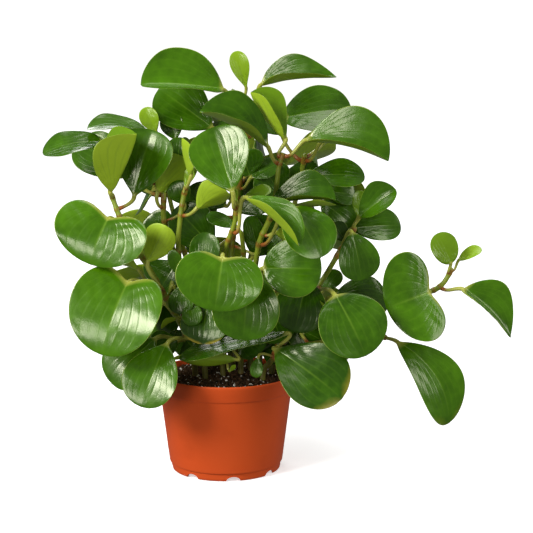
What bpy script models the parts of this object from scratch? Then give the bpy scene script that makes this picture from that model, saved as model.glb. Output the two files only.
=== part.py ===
"""Potted peperomia: nursery pot, soil, stems and single leaves, in metres with Z up.

Run with: blender --background --python part.py
The origin is the centre of the pot's flat base. Lengths in the tables are in millimetres.
"""
import math
from collections import namedtuple

import bmesh
import bpy
import numpy as np

MM = 0.001

# Pot: a thin-walled tapered shell with a proud rim band and a notched foot.
POT_HEIGHT = 84.0
RIM_RADIUS = 60.0
RIM_LIP = 1.5
BAND_HEIGHT = 14.0
BAND_STEP = 0.7
WALL_TOP_RADIUS = 58.6
WALL_BASE_RADIUS = 48.6
WALL = 1.5
FLOOR_TOP = 7.5
FLOOR_THICK = 2.0
FOOT_HEIGHT = 6.0
FOOT_RADIUS = 47.2
FOOT_RING = 2.4
NOTCH_COUNT = 8
NOTCH_WIDTH = 11.0
NOTCH_HEIGHT = 4.5
NOTCH_PHASE = math.radians(-81.0)
HOLE_COUNT = 8
HOLE_RADIUS = 3.5
HOLE_CIRCLE = 34.0
PAD_RADIUS = 10.0

# Soil: a plug that clears the wall by GAP and rises slightly in the middle.
GAP = 0.3
SOIL_EDGE = 79.5
SOIL_MOUND = 4.0
SOCKET_DEPTH = 20.0
ROUND = 64

# Stems: radius at the soil and at the top, and how many sides the tube has.
STEM_SIDES = 8
STEM_SPAN = 2
PETIOLE_RADIUS = 1.5
PETIOLE_STEPS = 4

# Leaf blade: stations from base to tip and angles around the section.
BLADE_STATIONS = (0.0, 0.05, 0.15, 0.3, 0.47, 0.64, 0.8, 0.92, 0.985)
RING_POINTS = 8
BLADE_THICK = 1.6
RIM_THICK = 0.9
TIP_LENGTH = 0.6

Stem = namedtuple("Stem", "base_radius top_radius path")
Leaf = namedtuple("Leaf", "stem at base tip width faces bend fold lobe young")

# Each path starts in the soil and runs to the shoot tip.
STEMS = {
    "stem_left_front": Stem(2.8, 2.1, (
        (-26, -10, 62), (-26, -10, 88), (-33, -14, 118), (-46, -24, 146), (-64, -34, 182),
        (-79, -36, 207), (-87, -36, 226), (-93, -34, 243))),
    "stem_left_back": Stem(2.8, 2.0, (
        (-27, 14, 62), (-27, 14, 88), (-33, 12, 122), (-39, 8, 162), (-45, 4, 190),
        (-52, 0, 217), (-51, -2, 240), (-52, 0, 262), (-56, 4, 280))),
    "stem_left_inner": Stem(2.7, 2.0, (
        (-17, -20, 62), (-17, -20, 88), (-23, -22, 120), (-32, -26, 160), (-38, -27, 190),
        (-37, -26, 214), (-34, -26, 235), (-30, -25, 250))),
    "stem_front": Stem(2.6, 1.9, (
        (-2, -14, 62), (-2, -14, 88), (-4, -20, 118), (-6, -34, 160), (0, -46, 193),
        (9, -55, 218), (11, -60, 236))),
    "stem_front_short": Stem(2.6, 1.9, (
        (13, -6, 62), (13, -6, 88), (15, -12, 118), (17, -28, 160), (16, -37, 194),
        (14, -44, 212))),
    "stem_middle": Stem(2.9, 2.0, (
        (21, 8, 62), (21, 8, 88), (21, 6, 119), (23, 0, 155), (29, -8, 196), (38, -14, 218),
        (43, -18, 242), (45, -20, 260), (49, -20, 273))),
    "stem_right_back": Stem(2.8, 2.0, (
        (29, 28, 62), (29, 28, 88), (35, 32, 122), (49, 34, 175), (60, 30, 228), (66, 22, 258),
        (68, 18, 270))),
    "stem_right": Stem(2.8, 2.0, (
        (40, -2, 62), (40, -2, 88), (50, -6, 121), (68, -6, 143), (85, -4, 168),
        (101, -2, 195), (111, 0, 209))),
    "stem_trailing": Stem(2.8, 2.1, (
        (40, 18, 62), (40, 18, 88), (52, 15, 108), (81, 8, 124), (111, 4, 134), (137, 0, 141),
        (161, -3, 149), (180, -5, 157), (188, -5, 166), (192, -5, 175))),
    "stem_right_low": Stem(2.7, 2.1, (
        (32, -22, 62), (32, -22, 88), (42, -26, 102), (58, -28, 110), (78, -26, 114),
        (100, -21, 118), (125, -18, 119), (138, -17, 116))),
    "stem_tall": Stem(2.9, 1.9, (
        (4, 16, 62), (4, 16, 88), (3, 17, 125), (5, 20, 186), (11, 18, 238), (17, 11, 280),
        (20, 4, 306), (20, 2, 318))),
    "stem_back_left": Stem(2.8, 2.0, (
        (-18, 30, 62), (-18, 30, 88), (-24, 38, 130), (-36, 48, 175), (-48, 58, 215),
        (-54, 64, 240))),
    "stem_back": Stem(2.8, 2.0, (
        (8, 38, 62), (8, 38, 88), (12, 46, 130), (22, 58, 180), (32, 66, 225), (36, 70, 252))),
}

# stem, height (or reach along X on the two low stems) where the leaf stalk leaves it, blade base,
# blade tip, width, way the upper face looks (degrees round from the front, degrees up), arch of
# the midrib, fold along the midrib in degrees, sweep of the base lobes, young or not.
LEAVES = {
    "leaf_top_left": Leaf("stem_tall", 300, (-1, 5, 324), (-69, -12, 329), 64, (-3, 44), 3, 42, 0.0, 0),
    "leaf_top_left_under": Leaf("stem_tall", 262, (-11, 20, 291), (-57, 25, 324), 48, (-15, 30), 2, 10, 0.0, 0),
    "leaf_top_centre": Leaf("stem_middle", 264, (36, -28, 279), (-19, -42, 308), 56, (34, 46), 4, 54, 0.0, 0),
    "leaf_top_glossy": Leaf("stem_front", 232, (8, -70, 246), (-8, -50, 296), 50, (-8, 19), 2, 9, 0.0, 0),
    "leaf_top_young": Leaf("stem_tall", 314, (18, 0, 326), (9, -5, 356), 17, (5, 10), 2, 20, 0.0, 1),
    "leaf_top_right": Leaf("stem_tall", 306, (31, -4, 329), (93, -12, 335), 42, (0, 53), 3, 55, 0.0, 0),
    "leaf_top_right_behind": Leaf("stem_right_back", 262, (51, 26, 299), (108, 28, 306), 48, (10, 38), 4, 12, 0.1, 0),
    "leaf_top_folded": Leaf("stem_middle", 269, (51, -20, 285), (22, -24, 323), 48, (54, 32), -4, 60, 0.0, 0),
    "leaf_crown_right": Leaf("stem_middle", 271, (68, -22, 284), (135, -34, 268), 68, (15, 47), 6, 49, 0.0, 0),
    "leaf_crown_right_under": Leaf("stem_right_back", 264, (84, 4, 283), (124, 2, 282), 34, (8, 60), 3, 8, 0.0, 0),
    "leaf_inner_right": Leaf("stem_middle", 228, (38, -24, 231), (92, -32, 236), 48, (0, 52), 4, 52, 0.0, 0),
    "leaf_right_dull": Leaf("stem_right_back", 222, (68, 4, 250), (118, 2, 251), 36, (5, 54), 3, 8, 0.0, 0),
    "leaf_front_folded": Leaf("stem_front", 212, (19, -64, 241), (61, -80, 204), 40, (47, 37), 3, 57, 0.0, 0),
    "leaf_front_facing": Leaf("stem_middle", 196, (56, -48, 230), (78, -70, 193), 47, (25, 22), 3, 8, 0.1, 0),
    "leaf_front_heart": Leaf("stem_front", 190, (0, -86, 194), (-6, -94, 154), 70, (2, 12), 3, 6, 0.2, 0),
    "leaf_front_mid": Leaf("stem_front_short", 178, (20, -60, 178), (16, -72, 126), 55, (5, 12), 5, 10, 0.1, 0),
    "leaf_front_right": Leaf("stem_front_short", 170, (33, -48, 181), (80, -52, 181), 50, (5, 16), 3, 12, 0.1, 0),
    "leaf_front_dark": Leaf("stem_middle", 150, (68, -20, 165), (58, -34, 125), 44, (5, 15), 3, 8, 0.1, 0),
    "leaf_right_bright": Leaf("stem_right", 158, (91, -50, 159), (115, -72, 113), 58, (10, 18), 5, 9, 0.0, 0),
    "leaf_low_right": Leaf("stem_right_low", 52, (42, -50, 114), (96, -78, 79), 58, (5, 30), 5, 12, 0.0, 0),
    "leaf_over_soil": Leaf("stem_right_low", 44, (53, -38, 125), (-36, -62, 108), 34, (0, 80), 2, 6, 0.0, 0),
    "leaf_front_low_dark": Leaf("stem_left_inner", 118, (-14, -36, 150), (-17, -50, 118), 40, (-5, 20), 4, 8, 0.1, 0),
    "leaf_left_big": Leaf("stem_left_front", 218, (-93, -54, 222), (-107, -66, 187), 78, (-6, 20), 5, 5, 0.3, 0),
    "leaf_far_left": Leaf("stem_left_back", 245, (-100, -12, 281), (-150, -20, 273), 36, (-10, 60), 4, 6, 0.0, 0),
    "leaf_upper_left": Leaf("stem_left_back", 268, (-63, 0, 288), (-114, -10, 292), 42, (-5, 75), 4, 14, 0.0, 0),
    "leaf_left_underside": Leaf("stem_left_front", 238, (-92, -46, 244), (-69, -54, 291), 74, (-97, 35), -2, 46, 0.0, 0),
    "leaf_left_upright": Leaf("stem_left_front", 228, (-74, -28, 238), (-58, -22, 292), 54, (-15, 15), 3, 14, 0.0, 0),
    "leaf_left_heart": Leaf("stem_left_front", 168, (-76, -62, 178), (-96, -86, 117), 76, (-9, 24), 8, 5, 0.15, 0),
    "leaf_low_left": Leaf("stem_left_front", 118, (-56, -44, 122), (-92, -56, 86), 46, (-20, 25), 4, 8, 0.0, 0),
    "leaf_low_front_left": Leaf("stem_left_inner", 108, (-46, -62, 121), (-66, -84, 74), 46, (-10, 20), 4, 8, 0.0, 0),
    "leaf_right_crown_edge": Leaf("stem_right", 206, (113, -4, 217), (143, -14, 242), 36, (30, 42), 2, 40, 0.0, 0),
    "leaf_right_mid": Leaf("stem_right", 202, (108, 10, 206), (150, 12, 208), 32, (5, 35), 3, 8, 0.0, 0),
    "leaf_right_hanging": Leaf("stem_right", 190, (106, -22, 207), (114, -30, 168), 36, (10, 15), 3, 8, 0.0, 0),
    "leaf_far_right_kidney": Leaf("stem_trailing", 168, (170, -26, 157), (134, -38, 146), 78, (5, 15), 4, 8, 0.24, 0),
    "leaf_far_right_low": Leaf("stem_right_low", 134, (145, -28, 115), (188, -38, 48), 42, (5, 30), 7, 8, 0.0, 0),
    "leaf_far_right_upper": Leaf("stem_trailing", 190, (190, -12, 180), (178, -12, 205), 24, (0, 25), 2, 10, 0.1, 0),
    "leaf_far_right_tip": Leaf("stem_trailing", 182, (201, -10, 157), (242, -14, 116), 50, (36, 28), 2, 44, 0.0, 0),
    "leaf_back_left_high": Leaf("stem_back_left", 236, (-66, 72, 246), (-114, 86, 252), 52, (190, 55), 3, 15, 0.1, 0),
    "leaf_back_left_mid": Leaf("stem_back_left", 200, (-66, 82, 206), (-94, 102, 166), 60, (200, 25), 5, 10, 0.2, 0),
    "leaf_back_left_low": Leaf("stem_back_left", 150, (-36, 72, 160), (-38, 96, 114), 54, (188, 20), 4, 8, 0.2, 0),
    "leaf_back_high": Leaf("stem_back", 248, (24, 84, 256), (-12, 103, 284), 52, (172, 45), 3, 15, 0.1, 0),
    "leaf_back_right_high": Leaf("stem_back", 244, (52, 80, 256), (98, 94, 268), 54, (160, 50), 3, 12, 0.0, 0),
    "leaf_back_right_mid": Leaf("stem_back", 206, (44, 84, 208), (70, 104, 166), 58, (165, 25), 5, 8, 0.2, 0),
    "leaf_back_low": Leaf("stem_back", 150, (22, 74, 158), (28, 98, 112), 54, (176, 20), 4, 10, 0.1, 0),
    "leaf_back_right_low": Leaf("stem_right_back", 140, (64, 58, 146), (98, 82, 112), 54, (150, 30), 4, 8, 0.1, 0),
}


def unit(vector):
    """The vector scaled to length one."""
    return vector / np.linalg.norm(vector)


def direction(round_deg, up_deg):
    """Unit vector at an angle round from the front (-Y, towards +X) and an angle up."""
    a, e = math.radians(round_deg), math.radians(up_deg)
    return np.array((math.sin(a) * math.cos(e), -math.cos(a) * math.cos(e), math.sin(e)))


def smooth_path(points, span):
    """Catmull-Rom path through the points with span pieces between each pair."""
    p = np.array(points, float)
    ends = np.vstack((2 * p[0] - p[1], p, 2 * p[-1] - p[-2]))
    out = []
    for i in range(1, len(ends) - 2):
        a, b, c, d = ends[i - 1:i + 3]
        for k in range(span):
            t = k / span
            out.append(0.5 * (2 * b + (c - a) * t + (2 * a - 5 * b + 4 * c - d) * t * t
                              + (3 * b - 3 * c + d - a) * t ** 3))
    out.append(p[-1])
    return np.array(out)


def stem_centreline(name):
    """Centre points and radii along one stem."""
    stem = STEMS[name]
    path = np.vstack((np.array(stem.path[:1], float), smooth_path(stem.path[1:], STEM_SPAN)))
    share = np.linspace(0, 1, len(path))
    return path, stem.base_radius + (stem.top_radius - stem.base_radius) * share


def transported_frames(tangents, first_side):
    """Side and normal vectors carried along the tangents with no added twist."""
    sides, normals = [], []
    side = np.array(first_side, float)
    for tangent in tangents:
        side = unit(side - tangent * side.dot(tangent))
        sides.append(side)
        normals.append(np.cross(side, tangent))
    return sides, normals


def close_loft(rings, start, end):
    """Closed mesh through equal rings, with one point at each end."""
    count = len(rings[0])
    verts = [tuple(p) for ring in rings for p in ring] + [tuple(start), tuple(end)]
    faces = []
    for r in range(len(rings) - 1):
        for k in range(count):
            a, b = r * count + k, r * count + (k + 1) % count
            faces.append((a, b, b + count, a + count))
    last = (len(rings) - 1) * count
    for k in range(count):
        faces.append(((k + 1) % count, k, len(verts) - 2))
        faces.append((last + k, last + (k + 1) % count, len(verts) - 1))
    return verts, faces


def stem_shape(name):
    """Tube mesh of one stem, its first stretch straight down in its socket."""
    path, radii = stem_centreline(name)
    tangents = [unit(t) for t in np.gradient(path, axis=0)]
    tangents[0] = tangents[1] = np.array((0.0, 0.0, 1.0))
    sides, normals = transported_frames(tangents, (1, 0, 0))
    rings = []
    for centre, radius, side, normal in zip(path, radii, sides, normals):
        angles = np.linspace(0, 2 * math.pi, STEM_SIDES, endpoint=False)
        rings.append([centre + radius * (math.cos(a) * side - math.sin(a) * normal) for a in angles])
    tip = path[-1] + tangents[-1] * radii[-1] * 0.6
    return close_loft(rings, path[0], tip)


def stalk_start(leaf):
    """Point on the stem's surface where the leaf stalk starts, and the way it leaves."""
    path, radii = stem_centreline(leaf.stem)
    axis = 0 if leaf.stem in ("stem_trailing", "stem_right_low") and leaf.at >= path[4][0] else 2
    spot = next((i for i in range(4, len(path)) if path[i][axis] >= leaf.at), len(path) - 1)
    low, high = path[spot - 1], path[spot]
    share = min(1.0, max(0.0, (leaf.at - low[axis]) / (high[axis] - low[axis])))
    centre = low + (high - low) * share
    radius = radii[spot - 1] + (radii[spot] - radii[spot - 1]) * share
    along = unit(high - low)
    out = np.array(leaf.base, float) - centre
    out = unit(out - along * out.dot(along))
    return centre + out * (radius + GAP), out


def stalk_points(leaf, start, out, chord, normal):
    """Points along the leaf stalk from the stem to the blade's base."""
    base = np.array(leaf.base, float)
    reach = np.linalg.norm(base - start)
    arrive = unit(chord + 0.6 * normal)
    b, c = start + out * reach * 0.35, base - arrive * reach * 0.35
    steps = np.linspace(0, 1, PETIOLE_STEPS, endpoint=False)
    return [(1 - t) ** 3 * start + 3 * t * (1 - t) ** 2 * b + 3 * t * t * (1 - t) * c + t ** 3 * base
            for t in steps] + [base]


def blade_half_width(leaf, u):
    """Half width of the blade at a share u of its length."""
    near, far = 0.62 - 0.9 * leaf.lobe, 0.52
    peak = near / (near + far)
    shape = (u ** near * (1 - u) ** far) / (peak ** near * (1 - peak) ** far)
    return max(0.5 * leaf.width * shape, PETIOLE_RADIUS)


def blade_ring(leaf, u, chord, side, normal):
    """Points round the blade's section at a share u of its length."""
    base = np.array(leaf.base, float)
    length = np.linalg.norm(np.array(leaf.tip, float) - base)
    half = blade_half_width(leaf, u)
    thick = PETIOLE_RADIUS + (BLADE_THICK / 2 - PETIOLE_RADIUS) * min(1.0, u / 0.3)
    fold = math.radians(leaf.fold)
    points = []
    for k in range(RING_POINTS):
        a = 2 * math.pi * k / RING_POINTS
        q, rise = math.cos(a), math.sin(a)
        across = q * half
        lift = leaf.bend * 4 * u * (1 - u)
        crease = math.hypot(across, 1.5) - 1.5
        back = leaf.lobe * length * abs(across * 2 / leaf.width) ** 1.5 * (1 - u) ** 2
        points.append(base + chord * (u * length - back) + side * across * math.cos(fold)
                      + normal * (lift + crease * math.sin(fold) + thick * rise))
    return points


def leaf_shape(name):
    """One closed mesh of a leaf: stalk and blade, clear of its stem by GAP."""
    leaf = LEAVES[name]
    base, tip = np.array(leaf.base, float), np.array(leaf.tip, float)
    chord = unit(tip - base)
    faces = direction(*leaf.faces)
    normal = unit(faces - chord * faces.dot(chord))
    side = np.cross(chord, normal)
    start, out = stalk_start(leaf)
    points = stalk_points(leaf, start, out, chord, normal)
    tangents = [unit(points[i + 1] - points[i - 1]) for i in range(1, len(points) - 1)]
    tangents = [out] + tangents
    sides, normals = transported_frames(tangents[::-1], side)
    rings = []
    for centre, ring_side, ring_normal in zip(points[:-1], sides[::-1], normals[::-1]):
        angles = [2 * math.pi * k / RING_POINTS for k in range(RING_POINTS)]
        rings.append([centre + PETIOLE_RADIUS * (math.cos(a) * ring_side + math.sin(a) * ring_normal)
                      for a in angles])
    rings += [blade_ring(leaf, u, chord, side, normal) for u in BLADE_STATIONS]
    end = tip + chord * TIP_LENGTH
    return close_loft(rings, start, end)


def plain_material(name, colour, roughness):
    """Principled material with a colour and a roughness."""
    material = bpy.data.materials.new(name)
    material.use_nodes = True
    shader = material.node_tree.nodes["Principled BSDF"]
    shader.inputs["Base Color"].default_value = (*colour, 1.0)
    shader.inputs["Roughness"].default_value = roughness
    shader.inputs["Metallic"].default_value = 0.0
    material.diffuse_color = (*colour, 1.0)
    return material


def mesh_object(name, verts, faces, material):
    """Object from points in millimetres, faces turned outward."""
    mesh = bpy.data.meshes.new(name)
    mesh.from_pydata([tuple(float(c) * MM for c in v) for v in verts], [], faces)
    shape = bmesh.new()
    shape.from_mesh(mesh)
    bmesh.ops.recalc_face_normals(shape, faces=shape.faces)
    shape.to_mesh(mesh)
    shape.free()
    mesh.materials.append(material)
    obj = bpy.data.objects.new(name, mesh)
    bpy.context.scene.collection.objects.link(obj)
    return obj


def capped_shape(profile, sides):
    """Closed solid from an open (radius, height) profile, flat at its two ends."""
    rings = []
    for radius, height in profile:
        rings.append([(radius * math.cos(2 * math.pi * s / sides),
                       radius * math.sin(2 * math.pi * s / sides), height) for s in range(sides)])
    return close_loft(rings, (0, 0, profile[0][1]), (0, 0, profile[-1][1]))


def cut(target, cutters):
    """Subtract the cutters from the target, one Boolean each, then drop the cutters."""
    for cutter in cutters:
        modifier = target.modifiers.new("cut", "BOOLEAN")
        modifier.operation, modifier.solver, modifier.object = "DIFFERENCE", "EXACT", cutter
        bpy.context.view_layer.update()
        result = bpy.data.meshes.new_from_object(
            target.evaluated_get(bpy.context.evaluated_depsgraph_get()))
        target.modifiers.clear()
        target.data = result
        bpy.data.objects.remove(cutter, do_unlink=True)
    target.data.name = target.name


def wall_radius(height):
    """Outer radius of the pot's wall at a height."""
    share = (height - FOOT_HEIGHT) / (POT_HEIGHT - FOOT_HEIGHT)
    return WALL_BASE_RADIUS + (WALL_TOP_RADIUS - WALL_BASE_RADIUS) * share


def make_pot(material):
    """Thin pot shell: rim band, notched foot, raised floor with a centre pad, drain holes."""
    band = POT_HEIGHT - BAND_HEIGHT
    under = FLOOR_TOP - FLOOR_THICK
    inner_foot = FOOT_RADIUS - FOOT_RING
    profile = [
        (wall_radius(FLOOR_TOP) - WALL, FLOOR_TOP), (wall_radius(band) - WALL, band),
        (wall_radius(POT_HEIGHT) - WALL + 0.4, POT_HEIGHT - 0.5), (RIM_RADIUS - 0.5, POT_HEIGHT),
        (RIM_RADIUS, POT_HEIGHT - RIM_LIP), (wall_radius(band) + BAND_STEP, band),
        (wall_radius(band), band - 0.8), (wall_radius(FOOT_HEIGHT), FOOT_HEIGHT + 0.8),
        (FOOT_RADIUS, FOOT_HEIGHT), (FOOT_RADIUS - 0.3, 0.6), (FOOT_RADIUS - 0.9, 0.0),
        (inner_foot, 0.0), (inner_foot, under - 0.6), (inner_foot - 0.6, under),
        (PAD_RADIUS, under), (PAD_RADIUS, 0.0)]
    verts, faces = capped_shape(profile, ROUND)
    pot = mesh_object("pot", verts, faces, material)
    cutters = []
    for n in range(NOTCH_COUNT):
        a = NOTCH_PHASE + 2 * math.pi * n / NOTCH_COUNT
        out, across = np.array((math.cos(a), math.sin(a), 0)), np.array((-math.sin(a), math.cos(a), 0))
        ring = [(-0.5, -1), (0.5, -1), (0.5, 0.55), (0.32, 1), (-0.32, 1), (-0.5, 0.55)]
        near = [out * 38 + across * x * NOTCH_WIDTH + np.array((0, 0, z * NOTCH_HEIGHT)) for x, z in ring]
        far = [p + out * 16 for p in near]
        cutters.append(mesh_object(f"notch_{n}", *close_loft(
            [near, far], sum(near) / 6, sum(far) / 6), material))
        b = a + math.pi / NOTCH_COUNT
        verts, faces = capped_shape([(HOLE_RADIUS, under - 2), (HOLE_RADIUS, FLOOR_TOP + 2)], 16)
        shift = np.array((HOLE_CIRCLE * math.cos(b), HOLE_CIRCLE * math.sin(b), 0))
        cutters.append(mesh_object(f"hole_{n}", [np.array(v) + shift for v in verts], faces, material))
    cut(pot, cutters)
    return pot


def make_soil(material):
    """Soil plug with a low mound, and a socket for the foot of each stem."""
    low = FLOOR_TOP + GAP
    inner = [(wall_radius(z) - WALL - GAP, z) for z in (low, SOIL_EDGE)]
    top = SOIL_EDGE
    profile = [inner[0], inner[1]] + [
        (inner[1][0] * k, top + SOIL_MOUND * (1 - k ** 2)) for k in (0.8, 0.6, 0.4, 0.2)]
    verts, faces = capped_shape(profile, ROUND)
    verts[-1] = (0, 0, top + SOIL_MOUND)
    soil = mesh_object("soil", verts, faces, material)
    cutters = []
    for name, stem in STEMS.items():
        x, y, z = stem.path[0]
        radius = (stem.base_radius + GAP) / math.cos(math.pi / 16)
        verts, faces = capped_shape([(radius, z - GAP), (radius, SOIL_EDGE + SOIL_MOUND + 6)], 16)
        cutters.append(mesh_object("socket_" + name, [(a + x, b + y, c) for a, b, c in verts],
                                   faces, material))
    cut(soil, cutters)
    return soil


def main():
    """Clear the scene and build every piece."""
    for obj in list(bpy.data.objects):
        bpy.data.objects.remove(obj, do_unlink=True)
    plastic = plain_material("terracotta_plastic", (0.48, 0.07, 0.014), 0.45)
    earth = plain_material("soil", (0.012, 0.007, 0.004), 0.95)
    green_stem = plain_material("stem_green", (0.28, 0.28, 0.05), 0.45)
    leaf_green = plain_material("leaf_green", (0.06, 0.16, 0.008), 0.3)
    make_pot(plastic)
    make_soil(earth)
    for name in STEMS:
        mesh_object(name, *stem_shape(name), green_stem)
    for name in LEAVES:
        mesh_object(name, *leaf_shape(name), leaf_green)


main()
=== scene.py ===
"""Potted peperomia: waxy leaves, fleshy stems, peat soil with perlite and a moulded nursery pot.

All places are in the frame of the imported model, in metres with Z up. The tables are in millimetres
and repeat the plan of the plant's skeleton, so each living surface lies on its own solid.
"""
import logging
import math
import random
from dataclasses import dataclass, field
from enum import Enum
from typing import Any, NamedTuple, Sequence

import bmesh
import bpy
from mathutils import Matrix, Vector, noise


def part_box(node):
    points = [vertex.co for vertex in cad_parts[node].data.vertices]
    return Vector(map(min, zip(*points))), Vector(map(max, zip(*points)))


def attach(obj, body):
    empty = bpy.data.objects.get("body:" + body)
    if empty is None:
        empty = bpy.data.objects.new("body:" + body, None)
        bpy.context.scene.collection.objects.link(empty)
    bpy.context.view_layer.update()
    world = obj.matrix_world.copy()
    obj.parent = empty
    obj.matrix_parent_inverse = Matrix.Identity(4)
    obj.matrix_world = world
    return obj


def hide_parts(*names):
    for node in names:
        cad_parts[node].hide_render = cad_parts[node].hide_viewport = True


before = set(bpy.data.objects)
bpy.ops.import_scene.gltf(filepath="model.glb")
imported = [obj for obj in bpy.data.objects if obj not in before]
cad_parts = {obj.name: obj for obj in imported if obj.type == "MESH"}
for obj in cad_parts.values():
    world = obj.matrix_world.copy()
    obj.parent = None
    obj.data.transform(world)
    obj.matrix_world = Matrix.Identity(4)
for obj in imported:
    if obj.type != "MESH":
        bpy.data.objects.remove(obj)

MM = 0.001
TURN = 2.0 * math.pi
GAP = 0.3  # mm between a stem's skin and the solid of a stalk
STALK_RADIUS = 1.7  # mm, on a leaf of full size
FULL_WIDTH = 40.0  # mm across a blade from which its stalk and thickness are full
VEIN_PITCH = 0.26  # share of the half blade from one side vein to the next, at the tip
VEIN_LEAD, VEIN_BEND = 0.15, 0.6  # how the side veins crowd and arch towards the stalk
SAME_SPOT = 2e-6  # m between points that count as one
LOOSE_FIT = 0.004  # m off its solid from which a piece is reported
LOW_STEMS = ("stem_trailing", "stem_right_low")
log = logging.getLogger("peperomia")

Colour = tuple[float, float, float]
Triple = tuple[float, float, float]


class Age(Enum):
    """How far a leaf has grown: it sets the green."""

    MATURE = 0.0
    FRESH = 0.45
    YOUNG = 1.0


class Slot(Enum):
    """Material slots of the record, listed here; no piece is given one."""

    POT = "pot_plastic"
    SOIL = "soil"
    STEM = "stem"
    LEAF = "leaf"
    YOUNG_LEAF = "young_leaf"


class Stem(NamedTuple):
    """One stem: radius at the soil and at the tip, and its path from the soil up."""

    base_radius: float
    top_radius: float
    path: tuple[Triple, ...]


class Leaf(NamedTuple):
    """One leaf of the plan.

    `at` is the height, or the reach along X on the two low stems, where the stalk leaves the stem.
    `faces` is the way the upper face looks: degrees round from the front, degrees up.
    `taper` draws the foot of the blade out into a wedge and `point` sharpens its tip. `cup` lifts the
    rims, `sweep` bends the midrib sideways and `twist` turns the blade about it, in degrees. `tone` is
    how light the leaf is: partly its own colour, partly painted shade, low on leaves deep in the plant,
    and on the underside how much painted glow of light through it shows.
    """

    stem: str
    at: float
    base: Triple
    tip: Triple
    width: float
    faces: tuple[float, float]
    arch: float
    fold: float
    lobe: float
    age: Age = Age.MATURE
    tone: float = 0.5
    yellow: float = 0.0
    taper: float = 0.3
    point: float = 0.0
    cup: float = 1.0
    sweep: float = 0.0
    twist: float = 0.0


M, F, Y = Age.MATURE, Age.FRESH, Age.YOUNG

STEMS: dict[str, Stem] = {
    "stem_left_front": Stem(2.8, 2.1, (
        (-26, -10, 62), (-26, -10, 88), (-33, -14, 118), (-46, -24, 146), (-64, -34, 182),
        (-79, -36, 207), (-87, -36, 226), (-93, -34, 243))),
    "stem_left_back": Stem(2.8, 2.0, (
        (-27, 14, 62), (-27, 14, 88), (-33, 12, 122), (-39, 8, 162), (-45, 4, 190),
        (-52, 0, 217), (-51, -2, 240), (-52, 0, 262), (-56, 4, 280))),
    "stem_left_inner": Stem(2.7, 2.0, (
        (-17, -20, 62), (-17, -20, 88), (-23, -22, 120), (-32, -26, 160), (-38, -27, 190),
        (-37, -26, 214), (-34, -26, 235), (-30, -25, 250))),
    "stem_front": Stem(2.6, 1.9, (
        (-2, -14, 62), (-2, -14, 88), (-4, -20, 118), (-6, -34, 160), (0, -46, 193),
        (9, -55, 218), (11, -60, 236))),
    "stem_front_short": Stem(2.6, 1.9, (
        (13, -6, 62), (13, -6, 88), (15, -12, 118), (17, -28, 160), (16, -37, 194),
        (14, -44, 212))),
    "stem_middle": Stem(2.9, 2.0, (
        (21, 8, 62), (21, 8, 88), (21, 6, 119), (23, 0, 155), (29, -8, 196), (38, -14, 218),
        (43, -18, 242), (45, -20, 260), (49, -20, 273))),
    "stem_right_back": Stem(2.8, 2.0, (
        (29, 28, 62), (29, 28, 88), (35, 32, 122), (49, 34, 175), (60, 30, 228), (66, 22, 258),
        (68, 18, 270))),
    "stem_right": Stem(2.8, 2.0, (
        (40, -2, 62), (40, -2, 88), (50, -6, 121), (68, -6, 143), (85, -4, 168),
        (101, -2, 195), (111, 0, 209))),
    "stem_trailing": Stem(2.8, 2.1, (
        (40, 18, 62), (40, 18, 88), (52, 15, 108), (81, 8, 124), (111, 4, 134), (137, 0, 141),
        (161, -3, 149), (180, -5, 157), (188, -5, 166), (192, -5, 175))),
    "stem_right_low": Stem(2.7, 2.1, (
        (32, -22, 62), (32, -22, 88), (42, -26, 102), (58, -28, 110), (78, -26, 114),
        (100, -21, 118), (125, -18, 119), (138, -17, 116))),
    "stem_tall": Stem(2.9, 1.9, (
        (4, 16, 62), (4, 16, 88), (3, 17, 125), (5, 20, 186), (11, 18, 238), (17, 11, 280),
        (20, 4, 306), (20, 2, 318))),
    "stem_back_left": Stem(2.8, 2.0, (
        (-18, 30, 62), (-18, 30, 88), (-24, 38, 130), (-36, 48, 175), (-48, 58, 215),
        (-54, 64, 240))),
    "stem_back": Stem(2.8, 2.0, (
        (8, 38, 62), (8, 38, 88), (12, 46, 130), (22, 58, 180), (32, 66, 225), (36, 70, 252))),
}

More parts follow.
